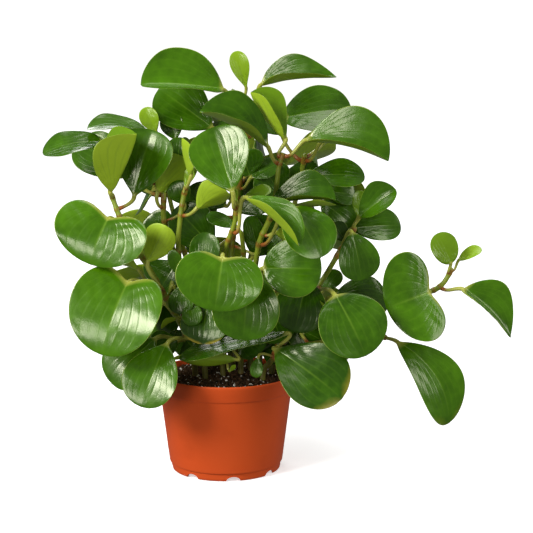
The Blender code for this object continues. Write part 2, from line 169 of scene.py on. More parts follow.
LEAVES: dict[str, Leaf] = {
    "leaf_top_left": Leaf("stem_tall", 300, (-1, 5, 324), (-69, -12, 329), 64, (-3, 44),
                          3, 42, 0.0, M, 0.7, taper=0.05),
    "leaf_top_left_under": Leaf("stem_tall", 262, (-11, 20, 291), (-57, 25, 324), 48, (-15, 30),
                                2, 10, 0.0, M, 0.25, taper=0.5),
    "leaf_top_centre": Leaf("stem_middle", 264, (36, -28, 279), (-19, -42, 308), 56, (34, 46),
                            4, 54, 0.0, M, 0.3, taper=0.2),
    "leaf_top_glossy": Leaf("stem_front", 232, (8, -70, 246), (-8, -50, 296), 50, (-8, 19),
                            2, 9, 0.0, M, 0.5, taper=0.5),
    "leaf_top_young": Leaf("stem_tall", 314, (18, 0, 326), (9, -5, 356), 17, (5, 10),
                           2, 20, 0.0, Y, 0.8, taper=0.8),
    "leaf_top_right": Leaf("stem_tall", 306, (31, -4, 329), (93, -12, 335), 42, (0, 53),
                           3, 55, 0.0, M, 0.4, taper=0.0, point=0.7),
    "leaf_top_right_behind": Leaf("stem_right_back", 262, (51, 26, 299), (108, 28, 306), 48, (10, 38),
                                  4, 12, 0.1, M, 0.3),
    "leaf_top_folded": Leaf("stem_middle", 269, (51, -20, 285), (22, -24, 323), 48, (54, 32),
                            -4, 60, 0.0, F, 0.9, taper=0.4),
    "leaf_crown_right": Leaf("stem_middle", 271, (68, -22, 284), (135, -34, 268), 68, (15, 47),
                             6, 49, 0.0, M, 0.5, taper=0.1),
    "leaf_crown_right_under": Leaf("stem_right_back", 264, (84, 4, 283), (124, 2, 282), 34, (8, 60),
                                   3, 8, 0.0, M, 0.4),
    "leaf_inner_right": Leaf("stem_middle", 228, (38, -24, 231), (92, -32, 236), 48, (0, 52),
                             4, 52, 0.0, M, 0.3),
    "leaf_right_dull": Leaf("stem_right_back", 222, (68, 4, 250), (118, 2, 251), 36, (5, 54),
                            3, 8, 0.0, M, 0.3),
    "leaf_front_folded": Leaf("stem_front", 212, (19, -64, 241), (61, -80, 204), 40, (47, 37),
                              3, 57, 0.0, M, 0.7, taper=0.2),
    "leaf_front_facing": Leaf("stem_middle", 196, (56, -48, 230), (78, -70, 193), 47, (25, 22),
                              3, 8, 0.1, M, 0.5),
    "leaf_front_heart": Leaf("stem_front", 190, (0, -85, 194), (-6, -93, 154), 70, (2, 12),
                             3, 6, 0.2, M, 0.6, taper=0.0, point=0.1),
    "leaf_front_mid": Leaf("stem_front_short", 178, (20, -60, 178), (16, -72, 126), 55, (5, 12),
                           5, 10, 0.1, M, 0.5),
    "leaf_front_right": Leaf("stem_front_short", 170, (33, -48, 181), (80, -52, 181), 50, (5, 16),
                             3, 12, 0.1, M, 0.4),
    "leaf_front_dark": Leaf("stem_middle", 150, (68, -20, 165), (58, -34, 125), 44, (5, 15),
                            3, 8, 0.1, M, 0.1),
    "leaf_right_bright": Leaf("stem_right", 158, (91, -50, 159), (115, -72, 113), 58, (10, 18),
                              5, 9, 0.0, M, 0.3, taper=0.0),
    "leaf_low_right": Leaf("stem_right_low", 52, (42, -50, 114), (96, -78, 79), 58, (5, 30),
                           5, 12, 0.0, M, 0.0, 0.3, taper=0.5),
    "leaf_over_soil": Leaf("stem_right_low", 44, (53, -38, 125), (-36, -62, 108), 34, (0, 80),
                           2, 6, 0.0, M, 0.0, taper=0.3, cup=0.4),
    "leaf_front_low_dark": Leaf("stem_left_inner", 118, (-14, -36, 150), (-17, -50, 118), 40, (-5, 20),
                                4, 8, 0.1, M, 0.1, 0.9),
    "leaf_left_big": Leaf("stem_left_front", 218, (-93, -54, 222), (-107, -66, 187), 78, (-6, 20),
                          5, 5, 0.3, M, 0.6, taper=0.0),
    "leaf_far_left": Leaf("stem_left_back", 245, (-100, -12, 281), (-150, -20, 273), 36, (-10, 60),
                          4, 6, 0.0, M, 0.3, taper=0.0),
    "leaf_upper_left": Leaf("stem_left_back", 268, (-63, 0, 288), (-114, -10, 292), 42, (-5, 75),
                            4, 14, 0.0, M, 0.5),
    "leaf_left_underside": Leaf("stem_left_front", 238, (-92, -46, 244), (-69, -54, 291), 74, (-97, 35),
                                -2, 46, 0.0, F, 0.8, taper=0.4, cup=1, twist=-10),
    "leaf_left_upright": Leaf("stem_left_front", 228, (-74, -28, 238), (-58, -22, 292), 54, (-15, 15),
                              3, 14, 0.0, M, 0.4, taper=0.7),
    "leaf_left_heart": Leaf("stem_left_front", 168, (-77, -64, 171), (-97, -85, 117), 76, (-8, 24),
                            7, 6, 0.24, M, 0.7, taper=0.0),
    "leaf_low_left": Leaf("stem_left_front", 118, (-56, -44, 122), (-92, -56, 86), 46, (-20, 25),
                          4, 8, 0.0, M, 0.4, taper=0.6),
    "leaf_low_front_left": Leaf("stem_left_inner", 108, (-46, -62, 121), (-66, -84, 74), 46, (-10, 20),
                                4, 8, 0.0, M, 0.5, taper=0.4),
    "leaf_right_crown_edge": Leaf("stem_right", 206, (113, -4, 217), (143, -14, 242), 36, (30, 42),
                                  2, 40, 0.0, M, 0.5, taper=0.6),
    "leaf_right_mid": Leaf("stem_right", 202, (108, 10, 206), (150, 12, 208), 32, (5, 35),
                           3, 8, 0.0, M, 0.3),
    "leaf_right_hanging": Leaf("stem_right", 190, (106, -22, 207), (114, -30, 168), 36, (10, 15),
                               3, 8, 0.0, M, 0.3),
    "leaf_far_right_kidney": Leaf("stem_trailing", 168, (170, -26, 157), (134, -38, 146), 78, (5, 15),
                                  4, 8, 0.24, M, 0.6, taper=0.0),
    "leaf_far_right_low": Leaf("stem_right_low", 134, (145, -28, 115), (188, -38, 48), 42, (5, 30),
                               7, 8, 0.0, M, 0.5, 0.1, taper=0.3, sweep=-10),
    "leaf_far_right_upper": Leaf("stem_trailing", 190, (190, -12, 180), (178, -12, 205), 24, (0, 25),
                                 2, 10, 0.1, F, 0.3),
    "leaf_far_right_tip": Leaf("stem_trailing", 182, (201, -10, 157), (242, -14, 116), 50, (36, 28),
                               2, 44, 0.0, M, 0.55, taper=0.0, point=0.9, sweep=-4),
    "leaf_back_left_high": Leaf("stem_back_left", 236, (-66, 72, 246), (-114, 86, 252), 52, (190, 55),
                                3, 15, 0.1, M, 0.5),
    "leaf_back_left_mid": Leaf("stem_back_left", 200, (-66, 82, 206), (-94, 102, 166), 60, (200, 25),
                               5, 10, 0.2, M, 0.6, cup=0),
    "leaf_back_left_low": Leaf("stem_back_left", 150, (-36, 72, 160), (-38, 96, 114), 54, (188, 20),
                               4, 8, 0.2, M, 0.5),
    "leaf_back_high": Leaf("stem_back", 248, (24, 83, 256), (-12, 101, 284), 52, (172, 45),
                           3, 15, 0.1, M, 0.6, cup=0),
    "leaf_back_right_high": Leaf("stem_back", 244, (52, 80, 256), (98, 94, 268), 54, (160, 50),
                                 3, 12, 0.0, M, 0.5),
    "leaf_back_right_mid": Leaf("stem_back", 206, (44, 84, 208), (70, 104, 166), 58, (165, 25),
                                5, 8, 0.2, M, 0.6, cup=0),
    "leaf_back_low": Leaf("stem_back", 150, (22, 74, 158), (28, 98, 112), 54, (176, 20),
                          4, 10, 0.1, M, 0.4),
    "leaf_back_right_low": Leaf("stem_right_back", 140, (64, 58, 146), (98, 82, 112), 54, (150, 30),
                                4, 8, 0.1, M, 0.5),
}

# Small, inner and shoot leaves that stand between the large ones, gathered by where they grow.
SMALL_LEAVES: dict[str, tuple[Leaf, ...]] = {
    "shoot_leaves": (
        Leaf("stem_left_back", 276, (-58, 6, 289), (-68, 5, 309), 17, (-10, 30), 1, 20, 0.0, Y, 0.9),
        Leaf("stem_trailing", 191, (198, -3, 181), (217, -3, 191), 13, (0, 50), 1, 15, 0.0, Y, 0.8),
        Leaf("stem_front", 234, (11, -64, 238), (8, -66, 249), 6, (0, 10), 0, 20, 0.0, Y, 0.9),
        Leaf("stem_left_back", 232, (-50, -6, 238), (-51, -6, 256), 6, (-10, 10), 0, 20, 0.0, Y, 0.4),
        Leaf("stem_left_inner", 240, (-32, -28, 246), (-22, -30, 266), 11, (-20, 20), 1, 20, 0.0, Y, 0.7),
        Leaf("stem_right", 207, (113, 6, 217), (115, 10, 239), 15, (10, 20), 1, 20, 0.0, F, 0.5),
        Leaf("stem_front", 94, (4, -26, 90), (9, -30, 96), 4, (0, 20), 0, 10, 0.0, Y, 0.8),
    ),
    "inner_left_leaves": (
        Leaf("stem_left_back", 226, (-56, -8, 240), (-30, -10, 266), 38, (170, 45), 2, 12, 0.0, F, 0.6),
        Leaf("stem_left_inner", 222, (-22, -32, 229), (3, -38, 243), 34, (165, 50), 1, 22, 0.0, F, 0.8),
        Leaf("stem_left_inner", 244, (-26, -38, 257), (-33, -44, 287), 32, (95, 15), -2, 34, 0.0, F, 0.7),
        Leaf("stem_left_front", 160, (-62, -42, 186), (-47, -46, 216), 28, (150, 40), 1, 15, 0.0, F, 0.8),
        Leaf("stem_left_front", 158, (-72, -30, 178), (-92, -38, 189), 16, (160, 40), 1, 10, 0.0, F, 0.7),
        Leaf("stem_front", 168, (-16, -52, 176), (-13, -50, 211), 26, (-10, 15), 2, 12, 0.0, M, 0.2),
        Leaf("stem_left_inner", 146, (-27, -46, 152), (-25, -52, 134), 17, (0, 20), 1, 6, 0.1, M, 0.5),
        Leaf("stem_left_inner", 160, (-36, -42, 166), (-34, -48, 143), 22, (-10, 20), 1, 8, 0.0, M, 0.2),
        Leaf("stem_left_inner", 158, (-34, -42, 172), (-43, -46, 196), 12, (-10, 20), 1, 10, 0.0, M, 0.6),
        Leaf("stem_left_inner", 134, (-40, -40, 138), (-52, -46, 131), 13, (160, 50), 1, 10, 0.0, F, 0.8),
        Leaf("stem_left_inner", 96, (-22, -48, 106), (-44, -54, 106), 13, (170, 62), 1, 10, 0.0, F, 0.6),
        Leaf("stem_left_back", 272, (-42, 14, 282), (-48, 20, 303), 20, (-10, 30), 1, 10, 0.0, M, 0.2),
        Leaf("stem_left_back", 252, (-40, 6, 262), (-38, 10, 284), 20, (-5, 25), 1, 10, 0.0, M, 0.15),
        Leaf("stem_left_back", 235, (-84, 18, 250), (-128, 34, 278), 42, (-20, 40), 3, 8, 0.0, M, 0.4),
    ),
    "inner_right_leaves": (
        Leaf("stem_right_back", 206, (82, 22, 228), (110, 24, 206), 34, (10, 25), 2, 8, 0.0, M, 0.35),
        Leaf("stem_right_back", 214, (86, 26, 236), (112, 30, 232), 24, (10, 30), 2, 8, 0.0, M, 0.3),
        Leaf("stem_right", 186, (102, 4, 196), (92, 6, 212), 16, (0, 25), 1, 8, 0.0, M, 0.2),
        Leaf("stem_right", 150, (84, 8, 153), (98, 12, 169), 16, (0, 30), 1, 8, 0.0, M, 0.5),
        Leaf("stem_middle", 218, (40, -26, 224), (92, -38, 232), 34, (175, 80), 2, 8, 0.0, M, 0.6),
        Leaf("stem_front", 228, (17, -44, 238), (39, -44, 246), 14, (0, 50), 1, 8, 0.0, F, 0.5),
        Leaf("stem_tall", 240, (22, 8, 250), (46, 10, 262), 20, (0, 40), 1, 8, 0.0, M, 0.15),
        Leaf("stem_right_low", 70, (66, -8, 120), (106, -22, 102), 34, (5, 35), 2, 8, 0.0, M, 0.2),
        Leaf("stem_right", 118, (62, 4, 132), (80, -2, 116), 28, (5, 30), 1, 8, 0.0, M, 0.15),
        Leaf("stem_right", 146, (92, -16, 152), (138, -8, 146), 40, (0, 45), 3, 10, 0.0, M, 0.2),
        Leaf("stem_right_low", 38, (28, -46, 106), (26, -50, 90), 11, (0, 15), 1, 15, 0.0, M, 0.3),
    ),
    # Leaves deep in the plant with a low tone: their dark green is painted shade.
    "shade_leaves": (
        Leaf("stem_left_front", 104, (-39, -30, 117), (-61, -38, 111), 26, (-10, 30), 2, 8, 0.0, M, 0.35),
        Leaf("stem_front_short", 128, (13, -14, 119), (31, -20, 105), 34, (8, 30), 2, 8, 0.0, M, 0.1),
        Leaf("stem_tall", 214, (-9, 30, 216), (-35, 30, 237), 34, (-8, 20), 2, 8, 0.0, M, 0.1),
        Leaf("stem_tall", 222, (12, 26, 218), (35, 26, 241), 34, (6, 20), 2, 8, 0.0, M, 0.15),
        Leaf("stem_right_back", 236, (74, 24, 233), (55, 22, 257), 40, (8, 22), 2, 8, 0.0, M, 0.15),
        Leaf("stem_left_back", 150, (-42, 22, 175), (-57, 20, 151), 46, (-10, 20), 3, 8, 0.0, M, 0.05),
        Leaf("stem_right_back", 158, (78, 26, 175), (67, 24, 203), 40, (10, 20), 2, 8, 0.0, M, 0.1),
        Leaf("stem_left_back", 258, (-57, 12, 258), (-64, 12, 234), 34, (-10, 20), 2, 8, 0.0, M, 0.1),
        Leaf("stem_front", 96, (10, -44, 104), (-36, -50, 108), 17, (180, 20), -2, 14, 0.0, M, 0.1),
        Leaf("stem_right_low", 50, (50, 4, 102), (31, 0, 101), 30, (10, 35), 2, 8, 0.0, M, 0.0),
        Leaf("stem_left_inner", 94, (-33, -20, 115), (-24, -24, 106), 26, (-10, 35), 2, 8, 0.0, M, 0.0),
        Leaf("stem_left_back", 96, (-25, 2, 116), (-41, -2, 99), 34, (-10, 20), 2, 8, 0.0, M, 0.0),
        Leaf("stem_middle", 100, (21, -2, 120), (31, -6, 102), 34, (5, 25), 2, 8, 0.0, M, 0.0),
        Leaf("stem_right_back", 98, (42, 18, 113), (57, 16, 99), 34, (10, 25), 2, 8, 0.0, M, 0.05),
        Leaf("stem_front", 110, (-3, -8, 123), (-11, -12, 105), 36, (-5, 25), 2, 8, 0.0, M, 0.0),
        Leaf("stem_tall", 196, (-11, 4, 192), (-42, 2, 225), 40, (-5, 15), 2, 10, 0.0, M, 0.1),
        Leaf("stem_front", 205, (10, -22, 212), (-15, -18, 221), 13, (0, 30), 1, 8, 0.0, M, 0.1),
        Leaf("stem_tall", 190, (28, 4, 187), (20, 2, 218), 18, (15, 15), 1, 8, 0.0, M, 0.2),
        Leaf("stem_left_back", 186, (-48, 12, 198), (-65, 14, 218), 30, (-20, 20), 2, 8, 0.0, M, 0.15),
        Leaf("stem_right_back", 214, (49, 12, 234), (31, 10, 258), 36, (5, 20), 2, 8, 0.0, M, 0.15),
        Leaf("stem_tall", 232, (0, 22, 224), (-25, 22, 241), 26, (-10, 25), 2, 8, 0.0, M, 0.15),
        Leaf("stem_left_back", 214, (-34, -6, 229), (-41, -8, 249), 20, (-10, 15), 2, 8, 0.0, M, 0.3),
        Leaf("stem_tall", 260, (21, 10, 251), (13, 8, 273), 34, (-5, 20), 2, 8, 0.0, M, 0.15),
        Leaf("stem_tall", 140, (-8, 4, 146), (-12, -2, 112), 46, (-5, 20), 3, 8, 0.1, M, 0.1),
        Leaf("stem_left_back", 130, (-50, 18, 146), (-66, 16, 112), 48, (-15, 25), 3, 8, 0.1, M, 0.2),
        Leaf("stem_right_back", 120, (56, 18, 132), (76, 16, 104), 42, (15, 30), 3, 8, 0.1, M, 0.15),
        Leaf("stem_tall", 170, (24, 14, 182), (40, 12, 216), 38, (10, 25), 3, 8, 0.0, M, 0.1),
        Leaf("stem_left_back", 168, (-24, 8, 176), (-16, 4, 204), 30, (-10, 25), 2, 8, 0.0, M, 0.1),
        Leaf("stem_middle", 130, (36, -6, 140), (48, -14, 112), 34, (10, 25), 2, 8, 0.0, M, 0.15),
        Leaf("stem_right_back", 180, (64, 24, 190), (84, 20, 214), 34, (10, 30), 2, 8, 0.0, M, 0.15),
    ),
    "side_leaves": (
        Leaf("stem_tall", 284, (28, 12, 292), (36, 50, 304), 42, (78, 30), 3, 10, 0.0, M, 0.5),
        Leaf("stem_tall", 262, (24, 22, 270), (34, 58, 262), 42, (75, 25), 3, 8, 0.0, M, 0.4),
        Leaf("stem_right_back", 240, (74, 34, 248), (84, 68, 238), 44, (75, 25), 3, 8, 0.1, M, 0.5),
        Leaf("stem_right_back", 200, (66, 42, 206), (80, 74, 190), 46, (80, 20), 4, 8, 0.1, M, 0.4),
        Leaf("stem_right_back", 170, (62, 42, 176), (74, 70, 150), 44, (80, 20), 4, 8, 0.0, M, 0.5),
        Leaf("stem_middle", 204, (44, -16, 206), (56, -38, 190), 36, (100, 20), 3, 8, 0.0, M, 0.4),
        Leaf("stem_right", 140, (76, -14, 146), (90, -36, 126), 38, (85, 20), 3, 8, 0.0, M, 0.5),
        Leaf("stem_trailing", 70, (72, 24, 126), (84, 50, 108), 40, (70, 25), 3, 8, 0.0, M, 0.4),
        Leaf("stem_tall", 288, (8, 14, 298), (-2, 52, 306), 42, (-78, 30), 3, 10, 0.0, M, 0.5),
        Leaf("stem_left_back", 262, (-64, 10, 268), (-72, 46, 262), 42, (-75, 25), 3, 8, 0.0, M, 0.5),
        Leaf("stem_left_back", 236, (-60, 8, 240), (-68, 42, 228), 44, (-80, 20), 4, 8, 0.1, M, 0.4),
        Leaf("stem_back_left", 190, (-52, 48, 196), (-62, 20, 180), 42, (-85, 20), 3, 8, 0.0, M, 0.5),
        Leaf("stem_left_back", 150, (-46, 12, 156), (-58, 40, 134), 44, (-80, 20), 4, 8, 0.1, M, 0.4),
        Leaf("stem_left_front", 140, (-52, -16, 146), (-66, 8, 126), 42, (-85, 20), 3, 8, 0.0, M, 0.5),
        Leaf("stem_back", 226, (22, 60, 236), (10, 34, 248), 40, (-80, 25), 3, 8, 0.0, M, 0.4),
    ),
    "back_leaves": (
        Leaf("stem_back_left", 238, (-44, 74, 250), (-18, 92, 270), 40, (175, 50), 3, 12, 0.0, F, 0.6),
        Leaf("stem_tall", 270, (0, 32, 290), (-30, 56, 304), 46, (190, 50), 3, 12, 0.1, M, 0.5),
        Leaf("stem_tall", 244, (24, 34, 262), (44, 58, 250), 42, (165, 35), 3, 8, 0.0, M, 0.4),
        Leaf("stem_right_back", 266, (82, 34, 276), (112, 56, 284), 44, (150, 50), 3, 12, 0.0, M, 0.6),
        Leaf("stem_right_back", 190, (76, 52, 200), (110, 66, 180), 46, (145, 35), 3, 8, 0.1, M, 0.5),
        Leaf("stem_back_left", 120, (-46, 54, 120), (-84, 70, 92), 46, (215, 30), 4, 8, 0.1, M, 0.4),
        Leaf("stem_back", 110, (28, 62, 116), (42, 84, 84), 42, (170, 30), 3, 8, 0.1, M, 0.4),
        Leaf("stem_trailing", 90, (98, 28, 136), (122, 56, 110), 44, (150, 35), 3, 8, 0.1, M, 0.5),
        Leaf("stem_back_left", 180, (-18, 66, 190), (0, 84, 160), 42, (170, 25), 3, 8, 0.0, M, 0.4),
        Leaf("stem_left_back", 200, (-72, 18, 208), (-108, 30, 184), 46, (225, 35), 3, 8, 0.1, M, 0.5),
        Leaf("stem_back_left", 160, (-64, 42, 166), (-100, 52, 142), 44, (225, 30), 3, 8, 0.1, M, 0.4),
        Leaf("stem_right_back", 232, (84, 40, 240), (118, 50, 224), 42, (140, 40), 3, 8, 0.0, M, 0.5),
        Leaf("stem_left_back", 120, (-58, 30, 126), (-92, 28, 96), 44, (240, 30), 3, 8, 0.0, M, 0.4),
    ),
}


def feed(tree: bpy.types.NodeTree, socket: bpy.types.NodeSocket, value: Any) -> None:
    """Link a term to a socket, or set the socket to a plain value.

    Args:
        tree: Node tree of the socket.
        socket: Input that takes the value.
        value: A term or a plain value.
    """
    if isinstance(value, Term):
        tree.links.new(value.source, socket)
    else:
        socket.default_value = value


class Term:
    """A socket in a node tree that takes part in ordinary arithmetic."""

    def __init__(self, tree: bpy.types.NodeTree, source: bpy.types.NodeSocket) -> None:
        """Keep the tree and the socket."""
        self.tree = tree
        self.source = source

    def join(self, kind: str, operation: str, *others: Any, output: int = 0) -> "Term":
        """Add a maths node on this term.

        Args:
            kind: Node type, for numbers or for vectors.
            operation: Name of the operation.
            others: Further terms or plain values, in socket order.
            output: Index of the output wanted.

        Returns:
            The node's output as a term.
        """
        node = self.tree.nodes.new(kind)
        node.operation = operation
        for socket, value in zip(node.inputs, (self, *others)):
            feed(self.tree, socket, value)
        return Term(self.tree, node.outputs[output])

    def maths(self, operation: str, *others: Any) -> "Term":
        """Add a number maths node."""
        return self.join("ShaderNodeMath", operation, *others)

    def __add__(self, other: Any) -> "Term":
        """Sum."""
        return self.maths("ADD", other)

    def __sub__(self, other: Any) -> "Term":
        """Difference."""
        return self.maths("SUBTRACT", other)

    def __mul__(self, other: Any) -> "Term":
        """Product."""
        return self.maths("MULTIPLY", other)

    def __truediv__(self, other: Any) -> "Term":
        """Quotient."""
        return self.maths("DIVIDE", other)

    def __pow__(self, other: Any) -> "Term":
        """Power."""
        return self.maths("POWER", other)

    def less_from(self, whole: float) -> "Term":
        """A plain number minus this term."""
        return (self * -1.0) + whole

    def clamped(self) -> "Term":
        """Hold the term between zero and one.

        Returns:
            The held term.
        """
        held = self + 0.0
        held.source.node.use_clamp = True
        return held

    def eased(self) -> "Term":
        """Smooth step of the term held between zero and one."""
        held = self.clamped()
        return held * held * (held * -2.0 + 3.0)

    def bell(self, width: float) -> "Term":
        """One at zero, falling away in a bell of the given width."""
        scaled = self / width
        return (scaled * scaled * -1.0).maths("EXPONENT")

    def mix(self, other: Any, share: Any) -> "Term":
        """The term with a share of another in it."""
        return self + (self * -1.0 + other) * share

    def plus(self, other: "Term") -> "Term":
        """Vector sum."""
        return self.join("ShaderNodeVectorMath", "ADD", other)

    def scaled(self, factor: Any) -> "Term":
        """Multiply the vector by a number.

        Args:
            factor: Number or term.

        Returns:
            The vector at its new length.
        """
        node = self.tree.nodes.new("ShaderNodeVectorMath")
        node.operation = "SCALE"
        feed(self.tree, node.inputs[0], self)
        feed(self.tree, node.inputs["Scale"], factor)
        return Term(self.tree, node.outputs[0])

    def dot(self, other: "Term") -> "Term":
        """Dot product of two vectors."""
        return self.join("ShaderNodeVectorMath", "DOT_PRODUCT", other, output=1)

    def cross(self, other: "Term") -> "Term":
        """Cross product of two vectors."""
        return self.join("ShaderNodeVectorMath", "CROSS_PRODUCT", other)

    def unit(self) -> "Term":
        """The vector at length one."""
        return self.join("ShaderNodeVectorMath", "NORMALIZE")


class Recipe:
    """A Geometry Nodes tree with named inputs that turns an object's mesh into a finished one."""

    def __init__(self, name: str, inputs: dict[str, str]) -> None:
        """Start the tree.

        Args:
            name: Name of the tree.
            inputs: Socket type of each named input.
        """
        self.tree = bpy.data.node_groups.new(name, "GeometryNodeTree")
        face = self.tree.interface
        face.new_socket(name="Geometry", in_out="INPUT", socket_type="NodeSocketGeometry")
        face.new_socket(name="Geometry", in_out="OUTPUT", socket_type="NodeSocketGeometry")
        self.keys = {label: face.new_socket(name=label, in_out="INPUT", socket_type=kind).identifier
                     for label, kind in {**inputs, "Material": "NodeSocketMaterial"}.items()}
        self.entry = self.tree.nodes.new("NodeGroupInput")
        self.exit = self.tree.nodes.new("NodeGroupOutput")

    def term(self, label: str) -> Term:
        """Named input as a term."""
        return Term(self.tree, self.entry.outputs[label])

    def node(self, kind: str, wires: dict[Any, Any] | None = None, **settings: Any) -> bpy.types.Node:
        """Add a node.

        Args:
            kind: Node type.
            wires: Value or term for each input name or index.
            settings: Attributes set on the node first.

        Returns:
            The new node.
        """
        node = self.tree.nodes.new(kind)
        for label, value in settings.items():
            setattr(node, label, value)
        for label, value in (wires or {}).items():
            feed(self.tree, node.inputs[label], value)
        return node

    def out(self, node: bpy.types.Node, label: Any = 0) -> Term:
        """Output of a node as a term."""
        return Term(self.tree, node.outputs[label])

    def keep(self, geometry: Term, name: str, value: Any) -> Term:
        """Store a number on every point of the geometry.

        Args:
            geometry: Geometry that takes the number.
            name: Name of the attribute.
            value: The number, or a term.

        Returns:
            The geometry with the number on it.
        """
        node = self.node("GeometryNodeStoreNamedAttribute", {"Geometry": geometry, "Name": name},
                         data_type="FLOAT", domain="POINT")
        feed(self.tree, node.inputs["Value"], value)
        return self.out(node)

    def close(self, geometry: Term, smooth: bool = True) -> None:
        """End the tree with real instances, its shading and the material.

        Args:
            geometry: Geometry that the tree gives.
            smooth: Whether its faces are shaded smooth.
        """
        real = self.out(self.node("GeometryNodeRealizeInstances", {"Geometry": geometry}))
        shade = self.node("GeometryNodeSetShadeSmooth", {"Geometry": real, "Shade Smooth": smooth})
        done = self.node("GeometryNodeSetMaterial",
                         {"Geometry": self.out(shade), "Material": self.term("Material")})
        self.tree.links.new(done.outputs[0], self.exit.inputs[0])

    def mesh(self, source: bpy.types.Mesh | None, values: dict[str, Any], name: str) -> bpy.types.Mesh:
        """Run the tree once.

        Args:
            source: Mesh that goes in, or None for an empty one.
            values: Value of each named input.
            name: Name of the mesh made.

        Returns:
            The finished plain mesh.
        """
        obj = linked(name, source or bpy.data.meshes.new(name))
        modifier = obj.modifiers.new("recipe", "NODES")
        modifier.node_group = self.tree
        for label, value in values.items():
            modifier[self.keys[label]] = value
        graph = bpy.context.evaluated_depsgraph_get()
        made = bpy.data.meshes.new_from_object(obj.evaluated_get(graph), preserve_all_data_layers=True,
                                               depsgraph=graph)
        bpy.data.objects.remove(obj, do_unlink=True)
        made.name = name
        return made


def linked(name: str, data: bpy.types.ID) -> bpy.types.Object:
    """Put a new object in the scene.

    Args:
        name: Name of the object.
        data: Its mesh, light or camera.

    Returns:
        The linked object.
    """
    obj = bpy.data.objects.new(name, data)
    bpy.context.scene.collection.objects.link(obj)
    return obj


def as_mesh(shape: bmesh.types.BMesh, name: str) -> bpy.types.Mesh:
    """Turn a shape into a mesh, and free the shape.

    Args:
        shape: The shape.
        name: Name of the mesh.

    Returns:
        The new mesh.
    """
    mesh = bpy.data.meshes.new(name)
    shape.to_mesh(mesh)
    shape.free()
    return mesh


def spoke(number: int, count: int) -> tuple[float, float]:
    """Direction of one of a count of even spokes round the pot's axis."""
    return math.cos(TURN * number / count), math.sin(TURN * number / count)


def vein_lines(along: Term, across: Term, sharpness: float) -> Term:
    """Lines that arch from the midrib to the rim as the side veins do.

    Args:
        along: Share of the blade's length.
        across: Distance from the midrib, one at the rim.
        sharpness: How narrow the lines are.

    Returns:
        One at the middle of a line, zero between two.
    """
    phase = across / ((along + VEIN_LEAD) ** VEIN_BEND) / VEIN_PITCH
    return ((phase * TURN).maths("COSINE") * 0.5 + 0.5) ** sharpness


def close_and_face_out(mesh: bpy.types.Mesh) -> None:
    """Merge doubled points and turn every face outward.

    Args:
        mesh: Mesh that is changed.
    """
    shape = bmesh.new()
    shape.from_mesh(mesh)
    bmesh.ops.remove_doubles(shape, verts=shape.verts, dist=SAME_SPOT)
    bmesh.ops.recalc_face_normals(shape, faces=shape.faces)
    shape.to_mesh(mesh)
    shape.free()


def piece(name: str, mesh: bpy.types.Mesh, stands_for: Sequence[str] = ()) -> bpy.types.Object:
    """Link a finished mesh as a piece that rides on the plant's body.

    Args:
        name: Name of the piece.
        mesh: Its finished mesh, in place.
        stands_for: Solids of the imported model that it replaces.

    Returns:
        The linked object.
    """
    obj = linked(name, mesh)
    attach(obj, "root")
    if stands_for:
        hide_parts(*stands_for)
    log.info("%s: %d faces", name, len(mesh.polygons))
    return obj


def joined(meshes: Sequence[bpy.types.Mesh], name: str) -> bpy.types.Mesh:
    """Join several meshes, with their materials and attributes.

    Args:
        meshes: The meshes, in place.
        name: Name of the joined one.

    Returns:
        The joined mesh.
    """
    objs = [linked(mesh.name, mesh) for mesh in meshes]
    with bpy.context.temp_override(active_object=objs[0], selected_editable_objects=objs,
                                   selected_objects=objs, object=objs[0]):
        bpy.ops.object.join()
    whole = objs[0].data
    bpy.data.objects.remove(objs[0], do_unlink=True)
    whole.name = name
    return whole


